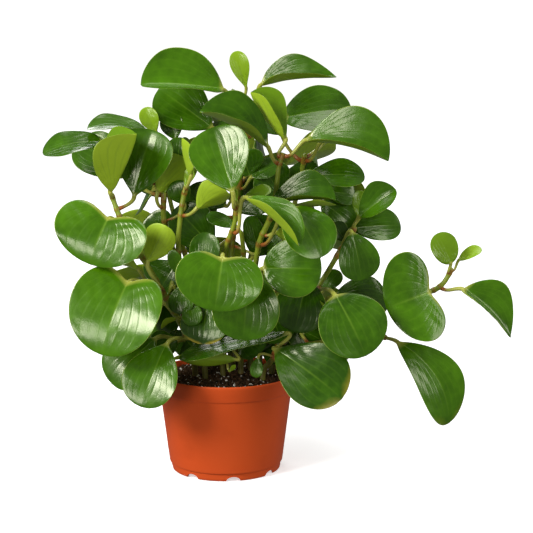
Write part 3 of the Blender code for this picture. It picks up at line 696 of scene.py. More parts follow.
class Finish:
    """Base of the procedural finishes: one Principled material and its node helpers."""

    def __init__(self, name: str) -> None:
        """Make the empty material.

        Args:
            name: Name of the material.
        """
        self.material = bpy.data.materials.new(name)
        self.material.use_nodes = True
        self.tree = self.material.node_tree
        self.shader = self.tree.nodes["Principled BSDF"]

    def attribute(self, name: str) -> Term:
        """Read a number stored on the piece's points.

        Args:
            name: Name of the attribute.

        Returns:
            The number as a term.
        """
        node = self.tree.nodes.new("ShaderNodeAttribute")
        node.attribute_name = name
        return Term(self.tree, node.outputs["Fac"])

    def place(self) -> Term:
        """Object coordinates."""
        return Term(self.tree, self.tree.nodes.new("ShaderNodeTexCoord").outputs["Object"])

    def grain(self, per_metre: float, detail: float = 3.0, stretch: Triple = (1, 1, 1)) -> Term:
        """Make a noise in the object's space.

        Args:
            per_metre: Cells to the metre.
            detail: Levels of finer noise in it.
            stretch: Scale along each axis, below one where the cells are drawn out.

        Returns:
            The noise, about zero to one.
        """
        mapping = self.tree.nodes.new("ShaderNodeMapping")
        mapping.inputs["Scale"].default_value = stretch
        self.tree.links.new(self.place().source, mapping.inputs["Vector"])
        node = self.tree.nodes.new("ShaderNodeTexNoise")
        node.inputs["Scale"].default_value = per_metre
        node.inputs["Detail"].default_value = detail
        self.tree.links.new(mapping.outputs[0], node.inputs["Vector"])
        return Term(self.tree, node.outputs[0])

    def cells(self, per_metre: float) -> Term:
        """Measure the distance to the nearest of many random points.

        Args:
            per_metre: Points to the metre.

        Returns:
            The distance, in cells.
        """
        node = self.tree.nodes.new("ShaderNodeTexVoronoi")
        node.inputs["Scale"].default_value = per_metre
        self.tree.links.new(self.place().source, node.inputs["Vector"])
        return Term(self.tree, node.outputs["Distance"])

    def blend(self, first: Any, second: Any, share: Any) -> Term:
        """Mix of two colours.

        Args:
            first: Colour or colour term at share zero.
            second: Colour or colour term at share one.
            share: Number or term.

        Returns:
            The mixed colour.
        """
        node = self.tree.nodes.new("ShaderNodeMix")
        node.data_type = "RGBA"
        for socket, value in ((node.inputs[6], first), (node.inputs[7], second)):
            feed(self.tree, socket, value if isinstance(value, Term) else (*value, 1.0))
        feed(self.tree, node.inputs[0], share)
        return Term(self.tree, node.outputs[2])

    def bump(self, height: Term, strength: float, depth: float) -> None:
        """Raise the surface by a height field.

        Args:
            height: The field.
            strength: Share of the effect that shows.
            depth: Height of one unit of the field, in metres.
        """
        node = self.tree.nodes.new("ShaderNodeBump")
        node.inputs["Strength"].default_value = strength
        node.inputs["Distance"].default_value = depth
        feed(self.tree, node.inputs["Height"], height)
        self.tree.links.new(node.outputs[0], self.shader.inputs["Normal"])

    def set(self, **values: Any) -> None:
        """Set or link the shader's inputs, underscores for spaces in their names."""
        for label, value in values.items():
            feed(self.tree, self.shader.inputs[label.replace("_", " ")], value)


@dataclass(frozen=True)
class LeafColours:
    """Colours of the living leaf, linear."""

    deep: Colour = (0.018, 0.064, 0.0005)
    fresh: Colour = (0.068, 0.195, 0.0008)
    vein: Colour = (0.11, 0.24, 0.010)
    midrib: Colour = (0.17, 0.31, 0.025)
    rim: Colour = (0.33, 0.42, 0.07)
    under: Colour = (0.13, 0.22, 0.006)
    # Pale underside: partly its own colour, partly a painted glow of light shining through the leaf.
    pale_back_and_glow: Colour = (0.44, 0.62, 0.030)
    young: Colour = (0.26, 0.42, 0.015)
    stalk: Colour = (0.36, 0.38, 0.06)
    stalk_foot: Colour = (0.30, 0.085, 0.018)
    worn: Colour = (0.62, 0.46, 0.05)
    gloss: Colour = (1.0, 1.0, 0.75)


@dataclass(frozen=True)
class LeafShares:
    """How much of each colour shows where it is strongest."""

    young_face: float = 0.8
    young_back: float = 0.35
    vein: float = 0.12
    midrib: float = 0.6
    rim: float = 0.65


class LeafFinish(Finish):
    """Thick waxy leaf: sunken veins above, pale below with painted glow, painted shade on low-toned leaves,
    thin pale rim, red foot of the stalk.
    """

    def __init__(self, name: str, colours: LeafColours = LeafColours(),
                 shares: LeafShares = LeafShares()) -> None:
        """Build the material.

        Args:
            name: Name of the material.
            colours: Colours of the leaf's parts.
            shares: How much of each colour shows.
        """
        super().__init__(name)
        along, across = self.attribute("along"), self.attribute("across").maths("ABSOLUTE")
        upper, stalk = self.attribute("upper"), self.attribute("stalk")
        tone, young = self.attribute("tone"), self.attribute("young")
        top = (upper * 3.0 + 0.5).clamped()
        veins = self.veins(along, across)
        crease = across.bell(0.030) * along.less_from(1.0)
        patches = self.grain(45.0, 4.0)
        cloud = self.grain(160.0, 2.0)
        # Random tone and painted shade: a low tone, given to leaves deep in the plant, gives the dark
        # green.
        shade = (tone * 0.9 + (patches - 0.5) * 1.1 + (cloud - 0.5) * 0.6 + 0.03).clamped()
        face = self.blend(colours.deep, colours.fresh, shade)
        face = self.blend(face, colours.young, young * shares.young_face)
        face = self.blend(face, colours.vein, veins * shares.vein)
        face = self.blend(face, colours.midrib, crease * shares.midrib)
        # Paler underside: partly its own colour, partly painted glow of light through the leaf; a low tone
        # keeps it dark as painted shade.
        pale = (tone * 0.95 + patches * 0.4 - 0.2).clamped()
        back = self.blend(colours.under, colours.pale_back_and_glow, pale)
        back = self.blend(back, colours.young, young * shares.young_back)
        back = self.blend(back, colours.midrib, (crease * 0.9 + veins * 0.25).clamped())
        skin = self.blend(back, face, top)
        edge = ((across - 0.982) * 70.0).clamped()
        skin = self.blend(skin, colours.rim, edge * shares.rim)
        worn = ((along + across * 0.16 + patches * 0.25 - 1.10) * 7.0).clamped() * self.attribute("yellow")
        skin = self.blend(skin, colours.worn, worn)
        green = self.blend(colours.stalk_foot, colours.stalk, ((stalk - 0.12) * 3.6).eased())
        skin = self.blend(green, skin, ((stalk - 0.9) * 10.0).clamped() * (along * 14.0).clamped())
        rough = (cloud * 0.10 + patches * 0.14 + top * -0.18 + 0.29).clamped()
        self.set(Base_Color=skin, Roughness=rough, Specular_IOR_Level=0.48,
                 Specular_Tint=(*colours.gloss, 1.0))
        dimple = self.cells(900.0)
        relief = veins * -0.25 + crease * -0.7 + dimple * 0.08 + cloud * 0.35
        self.bump(relief, 0.5, 0.0005)

    def veins(self, along: Term, across: Term) -> Term:
        """Narrow arched side veins, one at the middle of each line.

        Args:
            along: Share of the blade's length.
            across: Distance from the midrib, one at the rim.

        Returns:
            One on a vein, zero between.
        """
        wave = vein_lines(along, across, 7.0)
        window = ((across - 0.10) * 10.0).clamped() * (across.less_from(0.93) * 6.0).clamped()
        return wave * window * ((along - 0.05) * 8.0).clamped() * (along.less_from(0.97) * 4.0).clamped()


@dataclass(frozen=True)
class StemColours:
    """Colours of the fleshy stem, linear."""

    deep: Colour = (0.15, 0.22, 0.010)
    pale: Colour = (0.30, 0.36, 0.025)
    # Dark brown for the painted shade on the stems near the soil, under the leaves.
    shaded_base: Colour = (0.09, 0.06, 0.020)
    node: Colour = (0.29, 0.070, 0.012)


class StemFinish(Finish):
    """Fleshy stem: olive green with reddish rings at the nodes, fine lengthwise streaks and painted shade
    near the soil.
    """

    def __init__(self, colours: StemColours = StemColours()) -> None:
        """Build the material.

        Args:
            colours: Colours of the stem's parts.
        """
        super().__init__("fleshy_stem")
        node, height = self.attribute("node"), self.attribute("height")
        streak = self.grain(260.0, 3.0, (1, 1, 0.12))
        blotch = self.grain(70.0, 3.0)
        skin = self.blend(colours.deep, colours.pale, (streak * 1.2 - 0.1).clamped())
        # Painted shade: the stems grow darker and browner towards the soil, under the leaves.
        base_shade = (height.less_from(0.32) * 3.5).clamped() * (blotch * 0.5 + 0.5)
        skin = self.blend(skin, colours.shaded_base, base_shade)
        red = (node * 1.2 + (blotch - 0.62) * 1.6).clamped()
        skin = self.blend(skin, colours.node, red * 0.65)
        self.set(Base_Color=skin, Roughness=(blotch * 0.2 + 0.32).clamped(), IOR=1.45)
        self.bump(streak * 0.6 + self.cells(1400.0) * 0.2 + node * 0.5, 0.5, 0.0004)


@dataclass(frozen=True)
class PotColours:
    """Colours of the pot's plastic, linear."""

    deep: Colour = (0.57, 0.068, 0.011)
    light: Colour = (0.63, 0.083, 0.015)
    scuffed: Colour = (0.42, 0.046, 0.008)
    gloss: Colour = (1.0, 0.62, 0.42)


class PotFinish(Finish):
    """Satin moulded plastic with a faint flow pattern and darker scuffed patches."""

    def __init__(self, colours: PotColours = PotColours()) -> None:
        """Build the material.

        Args:
            colours: Colours of the plastic.
        """
        super().__init__("terracotta_plastic")
        flow = self.grain(18.0, 3.0, (1, 1, 0.35))
        speck = self.grain(900.0, 2.0)
        skin = self.blend(colours.deep, colours.light, flow)
        skin = self.blend(skin, colours.scuffed, ((self.grain(38.0, 4.0) - 0.58) * 1.6).clamped())
        self.set(Base_Color=skin, Roughness=(flow * 0.14 + speck * 0.08 + 0.42).clamped(),
                 Specular_IOR_Level=0.32, Specular_Tint=(*colours.gloss, 1.0))
        self.bump(speck * 0.5 + flow * 0.5, 0.12, 0.0004)


@dataclass(frozen=True)
class SoilColours:
    """Colours of the peat, linear."""

    wet: Colour = (0.012, 0.006, 0.003)
    damp: Colour = (0.085, 0.043, 0.018)
    fibre: Colour = (0.20, 0.11, 0.045)


class SoilFinish(Finish):
    """Moist dark peat with brown fibres."""

    def __init__(self, name: str, light: float, colours: SoilColours = SoilColours()) -> None:
        """Build the material.

        Args:
            name: Name of the material.
            light: How much of the lighter brown shows.
            colours: Colours of the peat.
        """
        super().__init__(name)
        clod, fibre = self.grain(240.0, 5.0), self.grain(900.0, 3.0)
        skin = self.blend(colours.wet, colours.damp, (clod * 1.6 - 0.45 + light).clamped())
        threads = ((fibre - 0.60 + light * 0.15) * 4.0).clamped() * 0.5
        skin = self.blend(skin, colours.fibre, threads)
        self.set(Base_Color=skin, Roughness=0.95, Specular_IOR_Level=0.15)
        self.bump(clod + fibre * 0.6, 0.9, 0.0015)


@dataclass(frozen=True)
class PerliteColours:
    """Colours of the perlite, linear."""

    chalk: Colour = (0.78, 0.75, 0.68)
    dust: Colour = (0.42, 0.36, 0.28)


class PerliteFinish(Finish):
    """Chalky white expanded grains with soil dust on them."""

    def __init__(self, colours: PerliteColours = PerliteColours()) -> None:
        """Build the material.

        Args:
            colours: Colours of the grains.
        """
        super().__init__("perlite")
        pits = self.cells(1500.0)
        skin = self.blend(colours.chalk, colours.dust, (pits * 1.1 - 0.25).clamped())
        self.set(Base_Color=skin, Roughness=0.85)
        self.bump(pits, 0.8, 0.0005)


class StemLine:
    """Centre line of one stem with its radius, and where stalks leave it."""

    COARSE = 2  # knots to each stretch of the path
    FINE = 8  # centre points to each stretch between knots
    ABOVE_LOWEST = 4  # number of the first knot that can lie above a stalk

    def __init__(self, name: str) -> None:
        """Lay the line out.

        Args:
            name: Name of the stem.
        """
        stem = STEMS[name]
        self.name = name
        self.knots = [Vector(stem.path[0])] + self.smooth(stem.path[1:], self.COARSE)
        taper, last = stem.top_radius - stem.base_radius, len(self.knots) - 1
        self.knot_radii = [stem.base_radius + taper * i / last for i in range(last + 1)]
        self.low = name in LOW_STEMS

    @staticmethod
    def smooth(points: Sequence[Triple], span: int) -> list[Vector]:
        """Lay a smooth path through the points.

        Args:
            points: Points that the path goes through.
            span: Pieces in each stretch between two of them.

        Returns:
            Points along the path.
        """
        p = [Vector(q) for q in points]
        ends = [2 * p[0] - p[1], *p, 2 * p[-1] - p[-2]]
        out: list[Vector] = []
        for i in range(1, len(ends) - 2):
            a, b, c, d = ends[i - 1:i + 3]
            for k in range(span):
                t = k / span
                out.append(0.5 * (2 * b + (c - a) * t + (2 * a - 5 * b + 4 * c - d) * t * t
                                  + (3 * b - 3 * c + d - a) * t ** 3))
        return [*out, p[-1]]

    def leaving(self, leaf: Leaf) -> tuple[Vector, Vector, float]:
        """Where a leaf's stalk leaves this stem.

        Args:
            leaf: The leaf.

        Returns:
            Centre of the stem there, the way out, and the stem's radius.
        """
        lowest, last = self.ABOVE_LOWEST, len(self.knots) - 1
        axis = 0 if self.low and leaf.at >= self.knots[lowest][0] else 2
        spot = next((i for i in range(lowest, last + 1) if self.knots[i][axis] >= leaf.at), last)
        low, high = self.knots[spot - 1], self.knots[spot]
        share = min(1.0, max(0.0, (leaf.at - low[axis]) / (high[axis] - low[axis])))
        centre = low.lerp(high, share)
        radius = self.knot_radii[spot - 1] * (1 - share) + self.knot_radii[spot] * share
        lengthwise = (high - low).normalized()
        out = Vector(leaf.base) - centre
        out = (out - lengthwise * out.dot(lengthwise)).normalized()
        return centre, out, radius

    def fine_points(self) -> tuple[list[Vector], list[float]]:
        """Space centre points closely along the stem.

        Returns:
            The points, and the stem's radius at each.
        """
        points = self.smooth([tuple(knot) for knot in self.knots], self.FINE)
        radii, last = [], len(points) - 1
        for i in range(last + 1):
            share = i / last * (len(self.knot_radii) - 1)
            low = min(int(share), len(self.knot_radii) - 2)
            here, there = self.knot_radii[low], self.knot_radii[low + 1]
            radii.append(here * (1 - share + low) + there * (share - low))
        return points, radii


@dataclass
class Stems:
    """All the stems: swollen nodes where stalks leave, reddish there, rounded shoot tips."""

    sides: int = 20
    node_swell: float = 0.22
    node_length: float = 2.2
    stain_share: float = 0.75
    internode: float = 44.0
    first_ring: float = 1.2
    lowest_ring: float = 95.0
    ring_scatter: float = 6.0
    between_nodes: float = 0.94
    unevenness: float = 0.03
    tip_rounding: tuple[float, ...] = (0.25, 0.62, 0.85)
    # The stems' painted shade near the soil is measured from shade_foot, in mm, over shade_height.
    shade_foot: float = 80.0
    shade_height: float = 200.0
    lines: dict[str, StemLine] = field(default_factory=dict)

    def __post_init__(self) -> None:
        """Lay out every centre line."""
        self.lines = {name: StemLine(name) for name in STEMS}

    def recipe(self) -> Recipe:
        """Tree that sweeps a round section along the line, at the girth stored on it.

        Returns:
            The finished recipe.
        """
        recipe = Recipe("swept_stem", {"Sides": "NodeSocketInt"})
        curve = recipe.node("GeometryNodeMeshToCurve", {"Mesh": recipe.term("Geometry")})
        girth = recipe.node("GeometryNodeInputNamedAttribute", {"Name": "girth"}, data_type="FLOAT")
        ring = recipe.node("GeometryNodeCurvePrimitiveCircle",
                           {"Resolution": recipe.term("Sides"), "Radius": 1.0})
        sweep = recipe.node("GeometryNodeCurveToMesh", {
            "Curve": recipe.out(curve), "Profile Curve": recipe.out(ring), "Scale": recipe.out(girth),
            "Fill Caps": True})
        recipe.close(recipe.out(sweep))
        return recipe

    @staticmethod
    def nearness(point: Vector, rings: Sequence[Vector], spread: float) -> float:
        """How near a point is to the rings: one at a ring, falling away over the spread."""
        return sum(math.exp(-((point - ring).length / spread) ** 2) for ring in rings)

    def line_mesh(self, line: StemLine, nodes: Sequence[Vector]) -> bpy.types.Mesh:
        """Edge line of one stem with its girth, node and height numbers.

        Args:
            line: Centre line of the stem.
            nodes: Centres of the nodes on it.

        Returns:
            A mesh of points and edges.
        """
        points, radii = line.fine_points()
        rng = random.Random(len(points) * 7 + int(points[-1].z))
        walk, next_ring, rings = 0.0, self.first_ring, list(nodes)
        for a, b in zip(points, points[1:]):
            walk += (b - a).length
            if walk > next_ring + self.internode and a.z > self.lowest_ring:
                rings.append(b.copy())
                next_ring = walk + rng.uniform(-self.ring_scatter, self.ring_scatter)
        girth, node = [], []
        for point, radius in zip(points, radii):
            swelling = self.node_swell * min(1.0, self.nearness(point, rings, self.node_length))
            uneven = self.unevenness * noise.noise(point * 0.3)
            girth.append(radius * (self.between_nodes + swelling + uneven) * MM)
            node.append(min(1.0, self.nearness(point, rings, self.node_length * self.stain_share)))
        last = len(points) - 1
        for back, factor in enumerate(self.tip_rounding):
            girth[last - back] *= factor
        # Share of the height by which the stems' finish paints shade near the soil.
        height = [(point.z - self.shade_foot) / self.shade_height for point in points]
        mesh = bpy.data.meshes.new(line.name)
        mesh.from_pydata([p * MM for p in points], [(i, i + 1) for i in range(last)], [])
        for label, values in (("girth", girth), ("node", node), ("height", height)):
            layer = mesh.attributes.new(label, "FLOAT", "POINT")
            layer.data.foreach_set("value", values)
        return mesh

    def build(self, leaves: Sequence[Leaf], material: bpy.types.Material) -> None:
        """Make every stem.

        Args:
            leaves: All leaves, which say where the nodes are.
            material: Finish of the stems.
        """
        recipe = self.recipe()
        for name, line in self.lines.items():
            nodes = [line.leaving(leaf)[0] for leaf in leaves if leaf.stem == name]
            mesh = recipe.mesh(self.line_mesh(line, nodes), {"Sides": self.sides, "Material": material},
                               name + "_flesh")
            close_and_face_out(mesh)
            piece(name + "_flesh", mesh, (name,))


@dataclass
class Foliage:
    """Every leaf: one tree of the blade's rule, run with each leaf's own sizes.

    `stalk_share` is the share of all rows that the stalk takes, and `even_rows` how evenly the
    blade's own rows are spaced. `waist`, `foot_swell` and `neck_swell` shape the stalk, and `neck` is
    its radius where the blade begins. `opening` and `thinning` are the shares of the blade over which
    the stalk flattens out and thins. `stalk_sink` is how deep in the stem a stalk begins.
    """

    stems: Stems
    rows: int = 58
    columns: int = 44
    small_rows: int = 40
    small_columns: int = 28
    stalk_share: float = 0.26
    even_rows: float = 0.35
    waist: float = 0.85
    foot_swell: float = 0.30
    foot_spread: float = 0.16
    neck_swell: float = 0.30
    neck: float = 1.15
    opening: float = 0.14
    thinning: float = 0.3
    blade_thick: float = 1.15
    midrib_width: float = 1.2
    groove_depth: float = 0.55
    keel_depth: float = 0.9
    fold_radius: float = 3.5
    pucker: float = 0.6
    wave: float = 1.0
    stalk_bend: float = 0.35
    stalk_sink: float = 0.4
    stalk_rise: float = 0.6
    carry_steps: int = 24
    small_seed: int = 100

    def recipe(self) -> Recipe:
        """Tree of one leaf: a grid rolled into a stalk that opens into a thick blade.

        Returns:
            The finished recipe.
        """
        vectors = ("Start", "Lead", "Arrive", "Base", "Chord", "Side", "Normal", "Start side")
        numbers = ("Length", "Width", "Arch", "Fold", "Lobe", "Wave", "Phase", "Pucker", "Stalk",
                   "Thickness", "Taper", "Point", "Cup", "Sweep", "Twist", "Tone", "Young", "Yellow")
        recipe = Recipe("waxy_leaf", {**{v: "NodeSocketVector" for v in vectors},
                                      **{n: "NodeSocketFloat" for n in numbers},
                                      "Rows": "NodeSocketInt", "Columns": "NodeSocketInt"})
        grid = recipe.node("GeometryNodeMeshGrid", {"Size X": 1.0, "Size Y": 1.0,
                                                    "Vertices X": recipe.term("Rows"),
                                                    "Vertices Y": recipe.term("Columns")})
        spot = recipe.node("ShaderNodeSeparateXYZ",
                           {"Vector": recipe.out(recipe.node("GeometryNodeInputPosition"))})
        row, turn = recipe.out(spot, 0) + 0.5, (recipe.out(spot, 1) + 0.5) * TURN
        t = (row / self.stalk_share).clamped()
        raw = ((row - self.stalk_share) / (1.0 - self.stalk_share)).clamped()
        crowded = (1.0 - self.even_rows) / 2
        u = raw * self.even_rows + (raw * math.pi).maths("COSINE") * -crowded + crowded
        cos, sin = turn.maths("COSINE"), turn.maths("SINE")
        stalk_point = self.stalk_point(recipe, row, t, cos, sin)
        blade_point, q = self.blade_point(recipe, u, cos, sin)
        on_blade = (row - self.stalk_share + 1e-5).maths("GREATER_THAN", 0.0)
        place = stalk_point.scaled(on_blade.less_from(1.0)).plus(blade_point.scaled(on_blade))
        moved = recipe.node("GeometryNodeSetPosition", {"Geometry": recipe.out(grid), "Position": place})
        body = recipe.out(moved)
        for label, value in (("along", u), ("across", q), ("upper", sin * on_blade), ("stalk", t),
                             ("tone", recipe.term("Tone")), ("young", recipe.term("Young")),
                             ("yellow", recipe.term("Yellow"))):
            body = self.keep_before(recipe, grid, moved, label, value, body)
        merged = recipe.node("GeometryNodeMergeByDistance", {"Geometry": body, "Distance": SAME_SPOT})
        recipe.close(recipe.out(merged))
        return recipe

    @staticmethod
    def keep_before(recipe: Recipe, grid: bpy.types.Node, moved: bpy.types.Node, label: str,
                    value: Term, body: Term) -> Term:
        """Store a number while the grid is still flat, ahead of the node that moves it.

        Args:
            recipe: The leaf's recipe.
            grid: Node of the flat grid. Not used.
            moved: Node that shapes the grid.
            label: Name of the number.
            value: The number.
            body: Geometry after shaping, passed through.

        Returns:
            The geometry after shaping.
        """
        source = moved.inputs["Geometry"].links[0].from_socket
        kept = recipe.keep(Term(recipe.tree, source), label, value)
        recipe.tree.links.new(kept.source, moved.inputs["Geometry"])
        return body

    def stalk_point(self, recipe: Recipe, row: Term, t: Term, cos: Term, sin: Term) -> Term:
        """Point on the stalk's skin.

        Args:
            recipe: The leaf's recipe.
            row: Share of all rows.
            t: Share of the stalk's length.
            cos: Cosine of the angle round the section.
            sin: Sine of the same angle.

        Returns:
            The place as a vector.
        """
        start, lead = recipe.term("Start"), recipe.term("Lead")
        arrive, base = recipe.term("Arrive"), recipe.term("Base")
        s = t.less_from(1.0)
        centre = start.scaled(s ** 3.0).plus(lead.scaled(s * s * t * 3.0))
        centre = centre.plus(arrive.scaled(s * t * t * 3.0)).plus(base.scaled(t ** 3.0))
        tangent = lead.plus(start.scaled(-1.0)).scaled(s * s * 3.0 + 1e-4)
        tangent = tangent.plus(arrive.plus(lead.scaled(-1.0)).scaled(s * t * 6.0))
        tangent = tangent.plus(base.plus(arrive.scaled(-1.0)).scaled(t * t * 3.0 + 1e-4)).unit()
        side = recipe.term("Start side").scaled(s).plus(recipe.term("Side").scaled(t))
        side = side.plus(tangent.scaled(side.dot(tangent) * -1.0)).unit()
        normal = side.cross(tangent)
        girth = t.bell(self.foot_spread) * self.foot_swell + self.waist + t * t * self.neck_swell
        closed_end = (row * 400.0).clamped()
        radius = recipe.term("Stalk") * girth * closed_end
        return centre.plus(side.scaled(cos * radius)).plus(normal.scaled(sin * radius))

    @staticmethod
    def half_width(recipe: Recipe, u: Term, stalk: Term) -> Term:
        """Half the blade's width, never less than the stalk's at its foot.

        Args:
            recipe: The leaf's recipe.
            u: Share of the blade's length.
            stalk: Radius of the stalk where the blade begins.

        Returns:
            The half width.
        """
        far = recipe.term("Point") * 0.5 + 0.5
        near = (recipe.term("Lobe") * 0.9).less_from(0.60) + recipe.term("Taper") * 0.6
        peak = near / (near + far)
        full = (peak ** near) * (peak.less_from(1.0) ** far)
        outline = (u ** near) * (u.less_from(1.0) ** far) / full * recipe.term("Width") * 0.5
        foot = stalk * (u.less_from(1.0) ** 4.0)
        return (outline * outline + foot * foot) ** 0.5

    def half_thickness(self, recipe: Recipe, u: Term, q: Term, stalk: Term) -> Term:
        """Half the blade's thickness: thinner at the rim, closed at the tip.

        Args:
            recipe: The leaf's recipe.
            u: Share of the blade's length.
            q: Share of the way from midrib to rim.
            stalk: Radius of the stalk where the blade begins.

        Returns:
            The half thickness.
        """
        rim = (q * q).less_from(1.35)
        thick = stalk.mix(recipe.term("Thickness") * 0.5 * rim, (u / self.thinning).clamped())
        return thick * ((u ** 12.0).less_from(1.0).clamped() ** 0.5)

    def midrib(self, u: Term, across: Term, sin: Term, opened: Term) -> Term:
        """Groove along the midrib above and its keel below.

        Args:
            u: Share of the blade's length.
            across: Distance from the midrib.
            sin: Sine of the angle round the section, above zero on the upper face.
            opened: How far the stalk has flattened out.

        Returns:
            The height, below zero.
        """
        ridge = (across / (self.midrib_width * MM)).bell(1.0) * opened * u.less_from(1.0)
        above = (sin * 50.0).clamped()
        depth = above * (self.groove_depth * MM) + above.less_from(1.0) * (self.keel_depth * MM)
        return ridge * depth * -1.0

    @staticmethod
    def quilt(recipe: Recipe, u: Term, reach: Term) -> Term:
        """Sunken lines along the side veins, none at the midrib, the rim, the foot or the tip.

        Args:
            recipe: The leaf's recipe.
            u: Share of the blade's length.
            reach: Distance from the midrib, one at the rim.

        Returns:
            The height, below zero.
        """
        lines = vein_lines(u, reach, 2.0) * recipe.term("Pucker") * ((reach - 0.10) * 6.0).clamped()
        lines = lines * (reach.less_from(0.96) * 4.0).clamped() * ((u - 0.06) * 7.0).clamped()
        return lines * (u.less_from(0.98) * 4.0).clamped() * -1.0

    @staticmethod
    def sway(recipe: Recipe, u: Term, q: Term, reach: Term, opened: Term) -> Term:
        """Slow wave of the rim.

        Args:
            recipe: The leaf's recipe.
            u: Share of the blade's length.
            q: Share of the way from midrib to rim.
            reach: The same without its sign.
            opened: How far the stalk has flattened out.

        Returns:
            The height.
        """
        rim = ((u * 9.0 + recipe.term("Phase") + q * 1.3).maths("SINE")) * reach * reach * reach
        return rim * recipe.term("Wave") * opened * (u.less_from(1.0) * 4.0).clamped()

    def blade_point(self, recipe: Recipe, u: Term, cos: Term, sin: Term) -> tuple[Term, Term]:
        """Point on the blade's skin.

        Args:
            recipe: The leaf's recipe.
            u: Share of the blade's length.
            cos: Cosine of the angle round the section.
            sin: Sine of the same angle.

        Returns:
            The place as a vector, and the share of the way from midrib to rim.
        """
        length, width, fold = recipe.term("Length"), recipe.term("Width"), recipe.term("Fold")
        stalk = recipe.term("Stalk") * self.neck
        opened = (u / self.opening).eased()
        q = cos.mix(cos * 0.6 + cos * cos * cos * 0.4, opened)
        reach = q.maths("ABSOLUTE")
        across = q * self.half_width(recipe, u, stalk)
        flat = (q ** 2.0) ** 4.0
        skin = sin.mix(sin.maths("SIGN") * (flat.less_from(1.0).clamped() ** 0.5), opened)
        thick = self.half_thickness(recipe, u, q, stalk)
        radius = self.fold_radius * MM
        crease = ((across * across + radius ** 2) ** 0.5 - radius) * fold.maths("SINE")
        crease = crease + recipe.term("Cup") * ((across * 2.0 / width) ** 2.0)
        relief = crease + self.quilt(recipe, u, reach) + self.sway(recipe, u, q, reach, opened)
        raised = relief + self.midrib(u, across, sin, opened) + thick * skin
        inward = (across * 2.0 / width).maths("ABSOLUTE").clamped().less_from(1.0)
        lobes = recipe.term("Lobe") * length * (inward ** 2.2).less_from(1.0) * (u.less_from(1.0) ** 2.0)
        reached = across * fold.maths("COSINE")
        turn = recipe.term("Twist") * u
        cos_turn, sin_turn = turn.maths("COSINE"), turn.maths("SINE")
        bow = u * u.less_from(1.0) * 4.0
        sideways = reached * cos_turn - raised * sin_turn + bow * recipe.term("Sweep")
        upward = reached * sin_turn + raised * cos_turn + bow * recipe.term("Arch")
        place = recipe.term("Base").plus(recipe.term("Chord").scaled(u * length - lobes))
        place = place.plus(recipe.term("Side").scaled(sideways))
        return place.plus(recipe.term("Normal").scaled(upward)), q

    @staticmethod
    def looks_towards(faces: tuple[float, float]) -> Vector:
        """Unit vector at an angle round from the front and an angle up."""
        a, e = math.radians(faces[0]), math.radians(faces[1])
        return Vector((math.sin(a) * math.cos(e), -math.cos(a) * math.cos(e), math.sin(e)))

    def values(self, leaf: Leaf, rng: random.Random) -> dict[str, Any]:
        """Inputs of the tree for one leaf.

        Args:
            leaf: The leaf of the plan.
            rng: Source of its small differences.

        Returns:
            A value for each named input.
        """
        base, tip = Vector(leaf.base), Vector(leaf.tip)
        chord = (tip - base).normalized()
        faces = self.looks_towards(leaf.faces)
        normal = (faces - chord * faces.dot(chord)).normalized()
        side = chord.cross(normal)
        centre, out, radius = self.stems.lines[leaf.stem].leaving(leaf)
        start = centre + out * (radius + GAP)
        reach = (base - start).length
        arrive = (chord + self.stalk_rise * normal).normalized()
        lead, near = start + out * reach * self.stalk_bend, base - arrive * reach * self.stalk_bend
        shares = [i / self.carry_steps for i in range(self.carry_steps + 1)]
        steps = [((1 - t) ** 2 * (lead - start) + 2 * (1 - t) * t * (near - lead)
                  + t * t * (base - near)).normalized() for t in shares]
        carried = side.copy()
        for tangent in reversed(steps):
            carried = (carried - tangent * carried.dot(tangent)).normalized()
        size = min(1.0, leaf.width / FULL_WIDTH)
        begin = centre + out * radius * self.stalk_sink
        vectors = {"Start": begin, "Lead": lead, "Arrive": near, "Base": base}
        numbers = {"Length": (tip - base).length, "Width": leaf.width, "Arch": leaf.arch,
                   "Cup": leaf.cup * size, "Sweep": leaf.sweep,
                   "Wave": self.wave * size * rng.uniform(0.5, 1.1), "Pucker": self.pucker * size,
                   "Stalk": STALK_RADIUS * (0.55 + 0.45 * size),
                   "Thickness": self.blade_thick * (0.7 + 0.3 * size)}
        return {**{k: list(v * MM) for k, v in vectors.items()},
                **{k: float(v * MM) for k, v in numbers.items()},
                "Chord": list(chord), "Side": list(side), "Normal": list(normal),
                "Start side": list(carried), "Fold": math.radians(leaf.fold), "Lobe": float(leaf.lobe),
                "Twist": math.radians(leaf.twist), "Taper": leaf.taper, "Point": leaf.point,
                "Phase": rng.uniform(0, TURN), "Tone": leaf.tone, "Young": leaf.age.value,
                "Yellow": leaf.yellow, "Rows": self.rows, "Columns": self.columns + 1}

    def build(self, mature: bpy.types.Material, young: bpy.types.Material) -> None:
        """Make every leaf.

        Args:
            mature: Finish of grown leaves.
            young: Finish of the youngest leaves.
        """
        recipe = self.recipe()
        grown, fresh = (mature, Slot.LEAF), (young, Slot.YOUNG_LEAF)
        for number, (name, leaf) in enumerate(LEAVES.items()):
            material, slot = fresh if leaf.age is Age.YOUNG else grown
            values = {**self.values(leaf, random.Random(number)), "Material": material}
            mesh = recipe.mesh(None, values, name + "_blade")
            close_and_face_out(mesh)
            piece(name + "_blade", mesh, (name,))
        for group, leaves in SMALL_LEAVES.items():
            meshes = []
            material, slot = fresh if group == "shoot_leaves" else grown
            for number, leaf in enumerate(leaves):
                values = self.values(leaf, random.Random(self.small_seed + number))
                values.update({"Rows": self.small_rows, "Columns": self.small_columns + 1,
                               "Material": material})
                meshes.append(recipe.mesh(None, values, f"{group}_{number}"))
                close_and_face_out(meshes[-1])
            piece(group, joined(meshes, group))


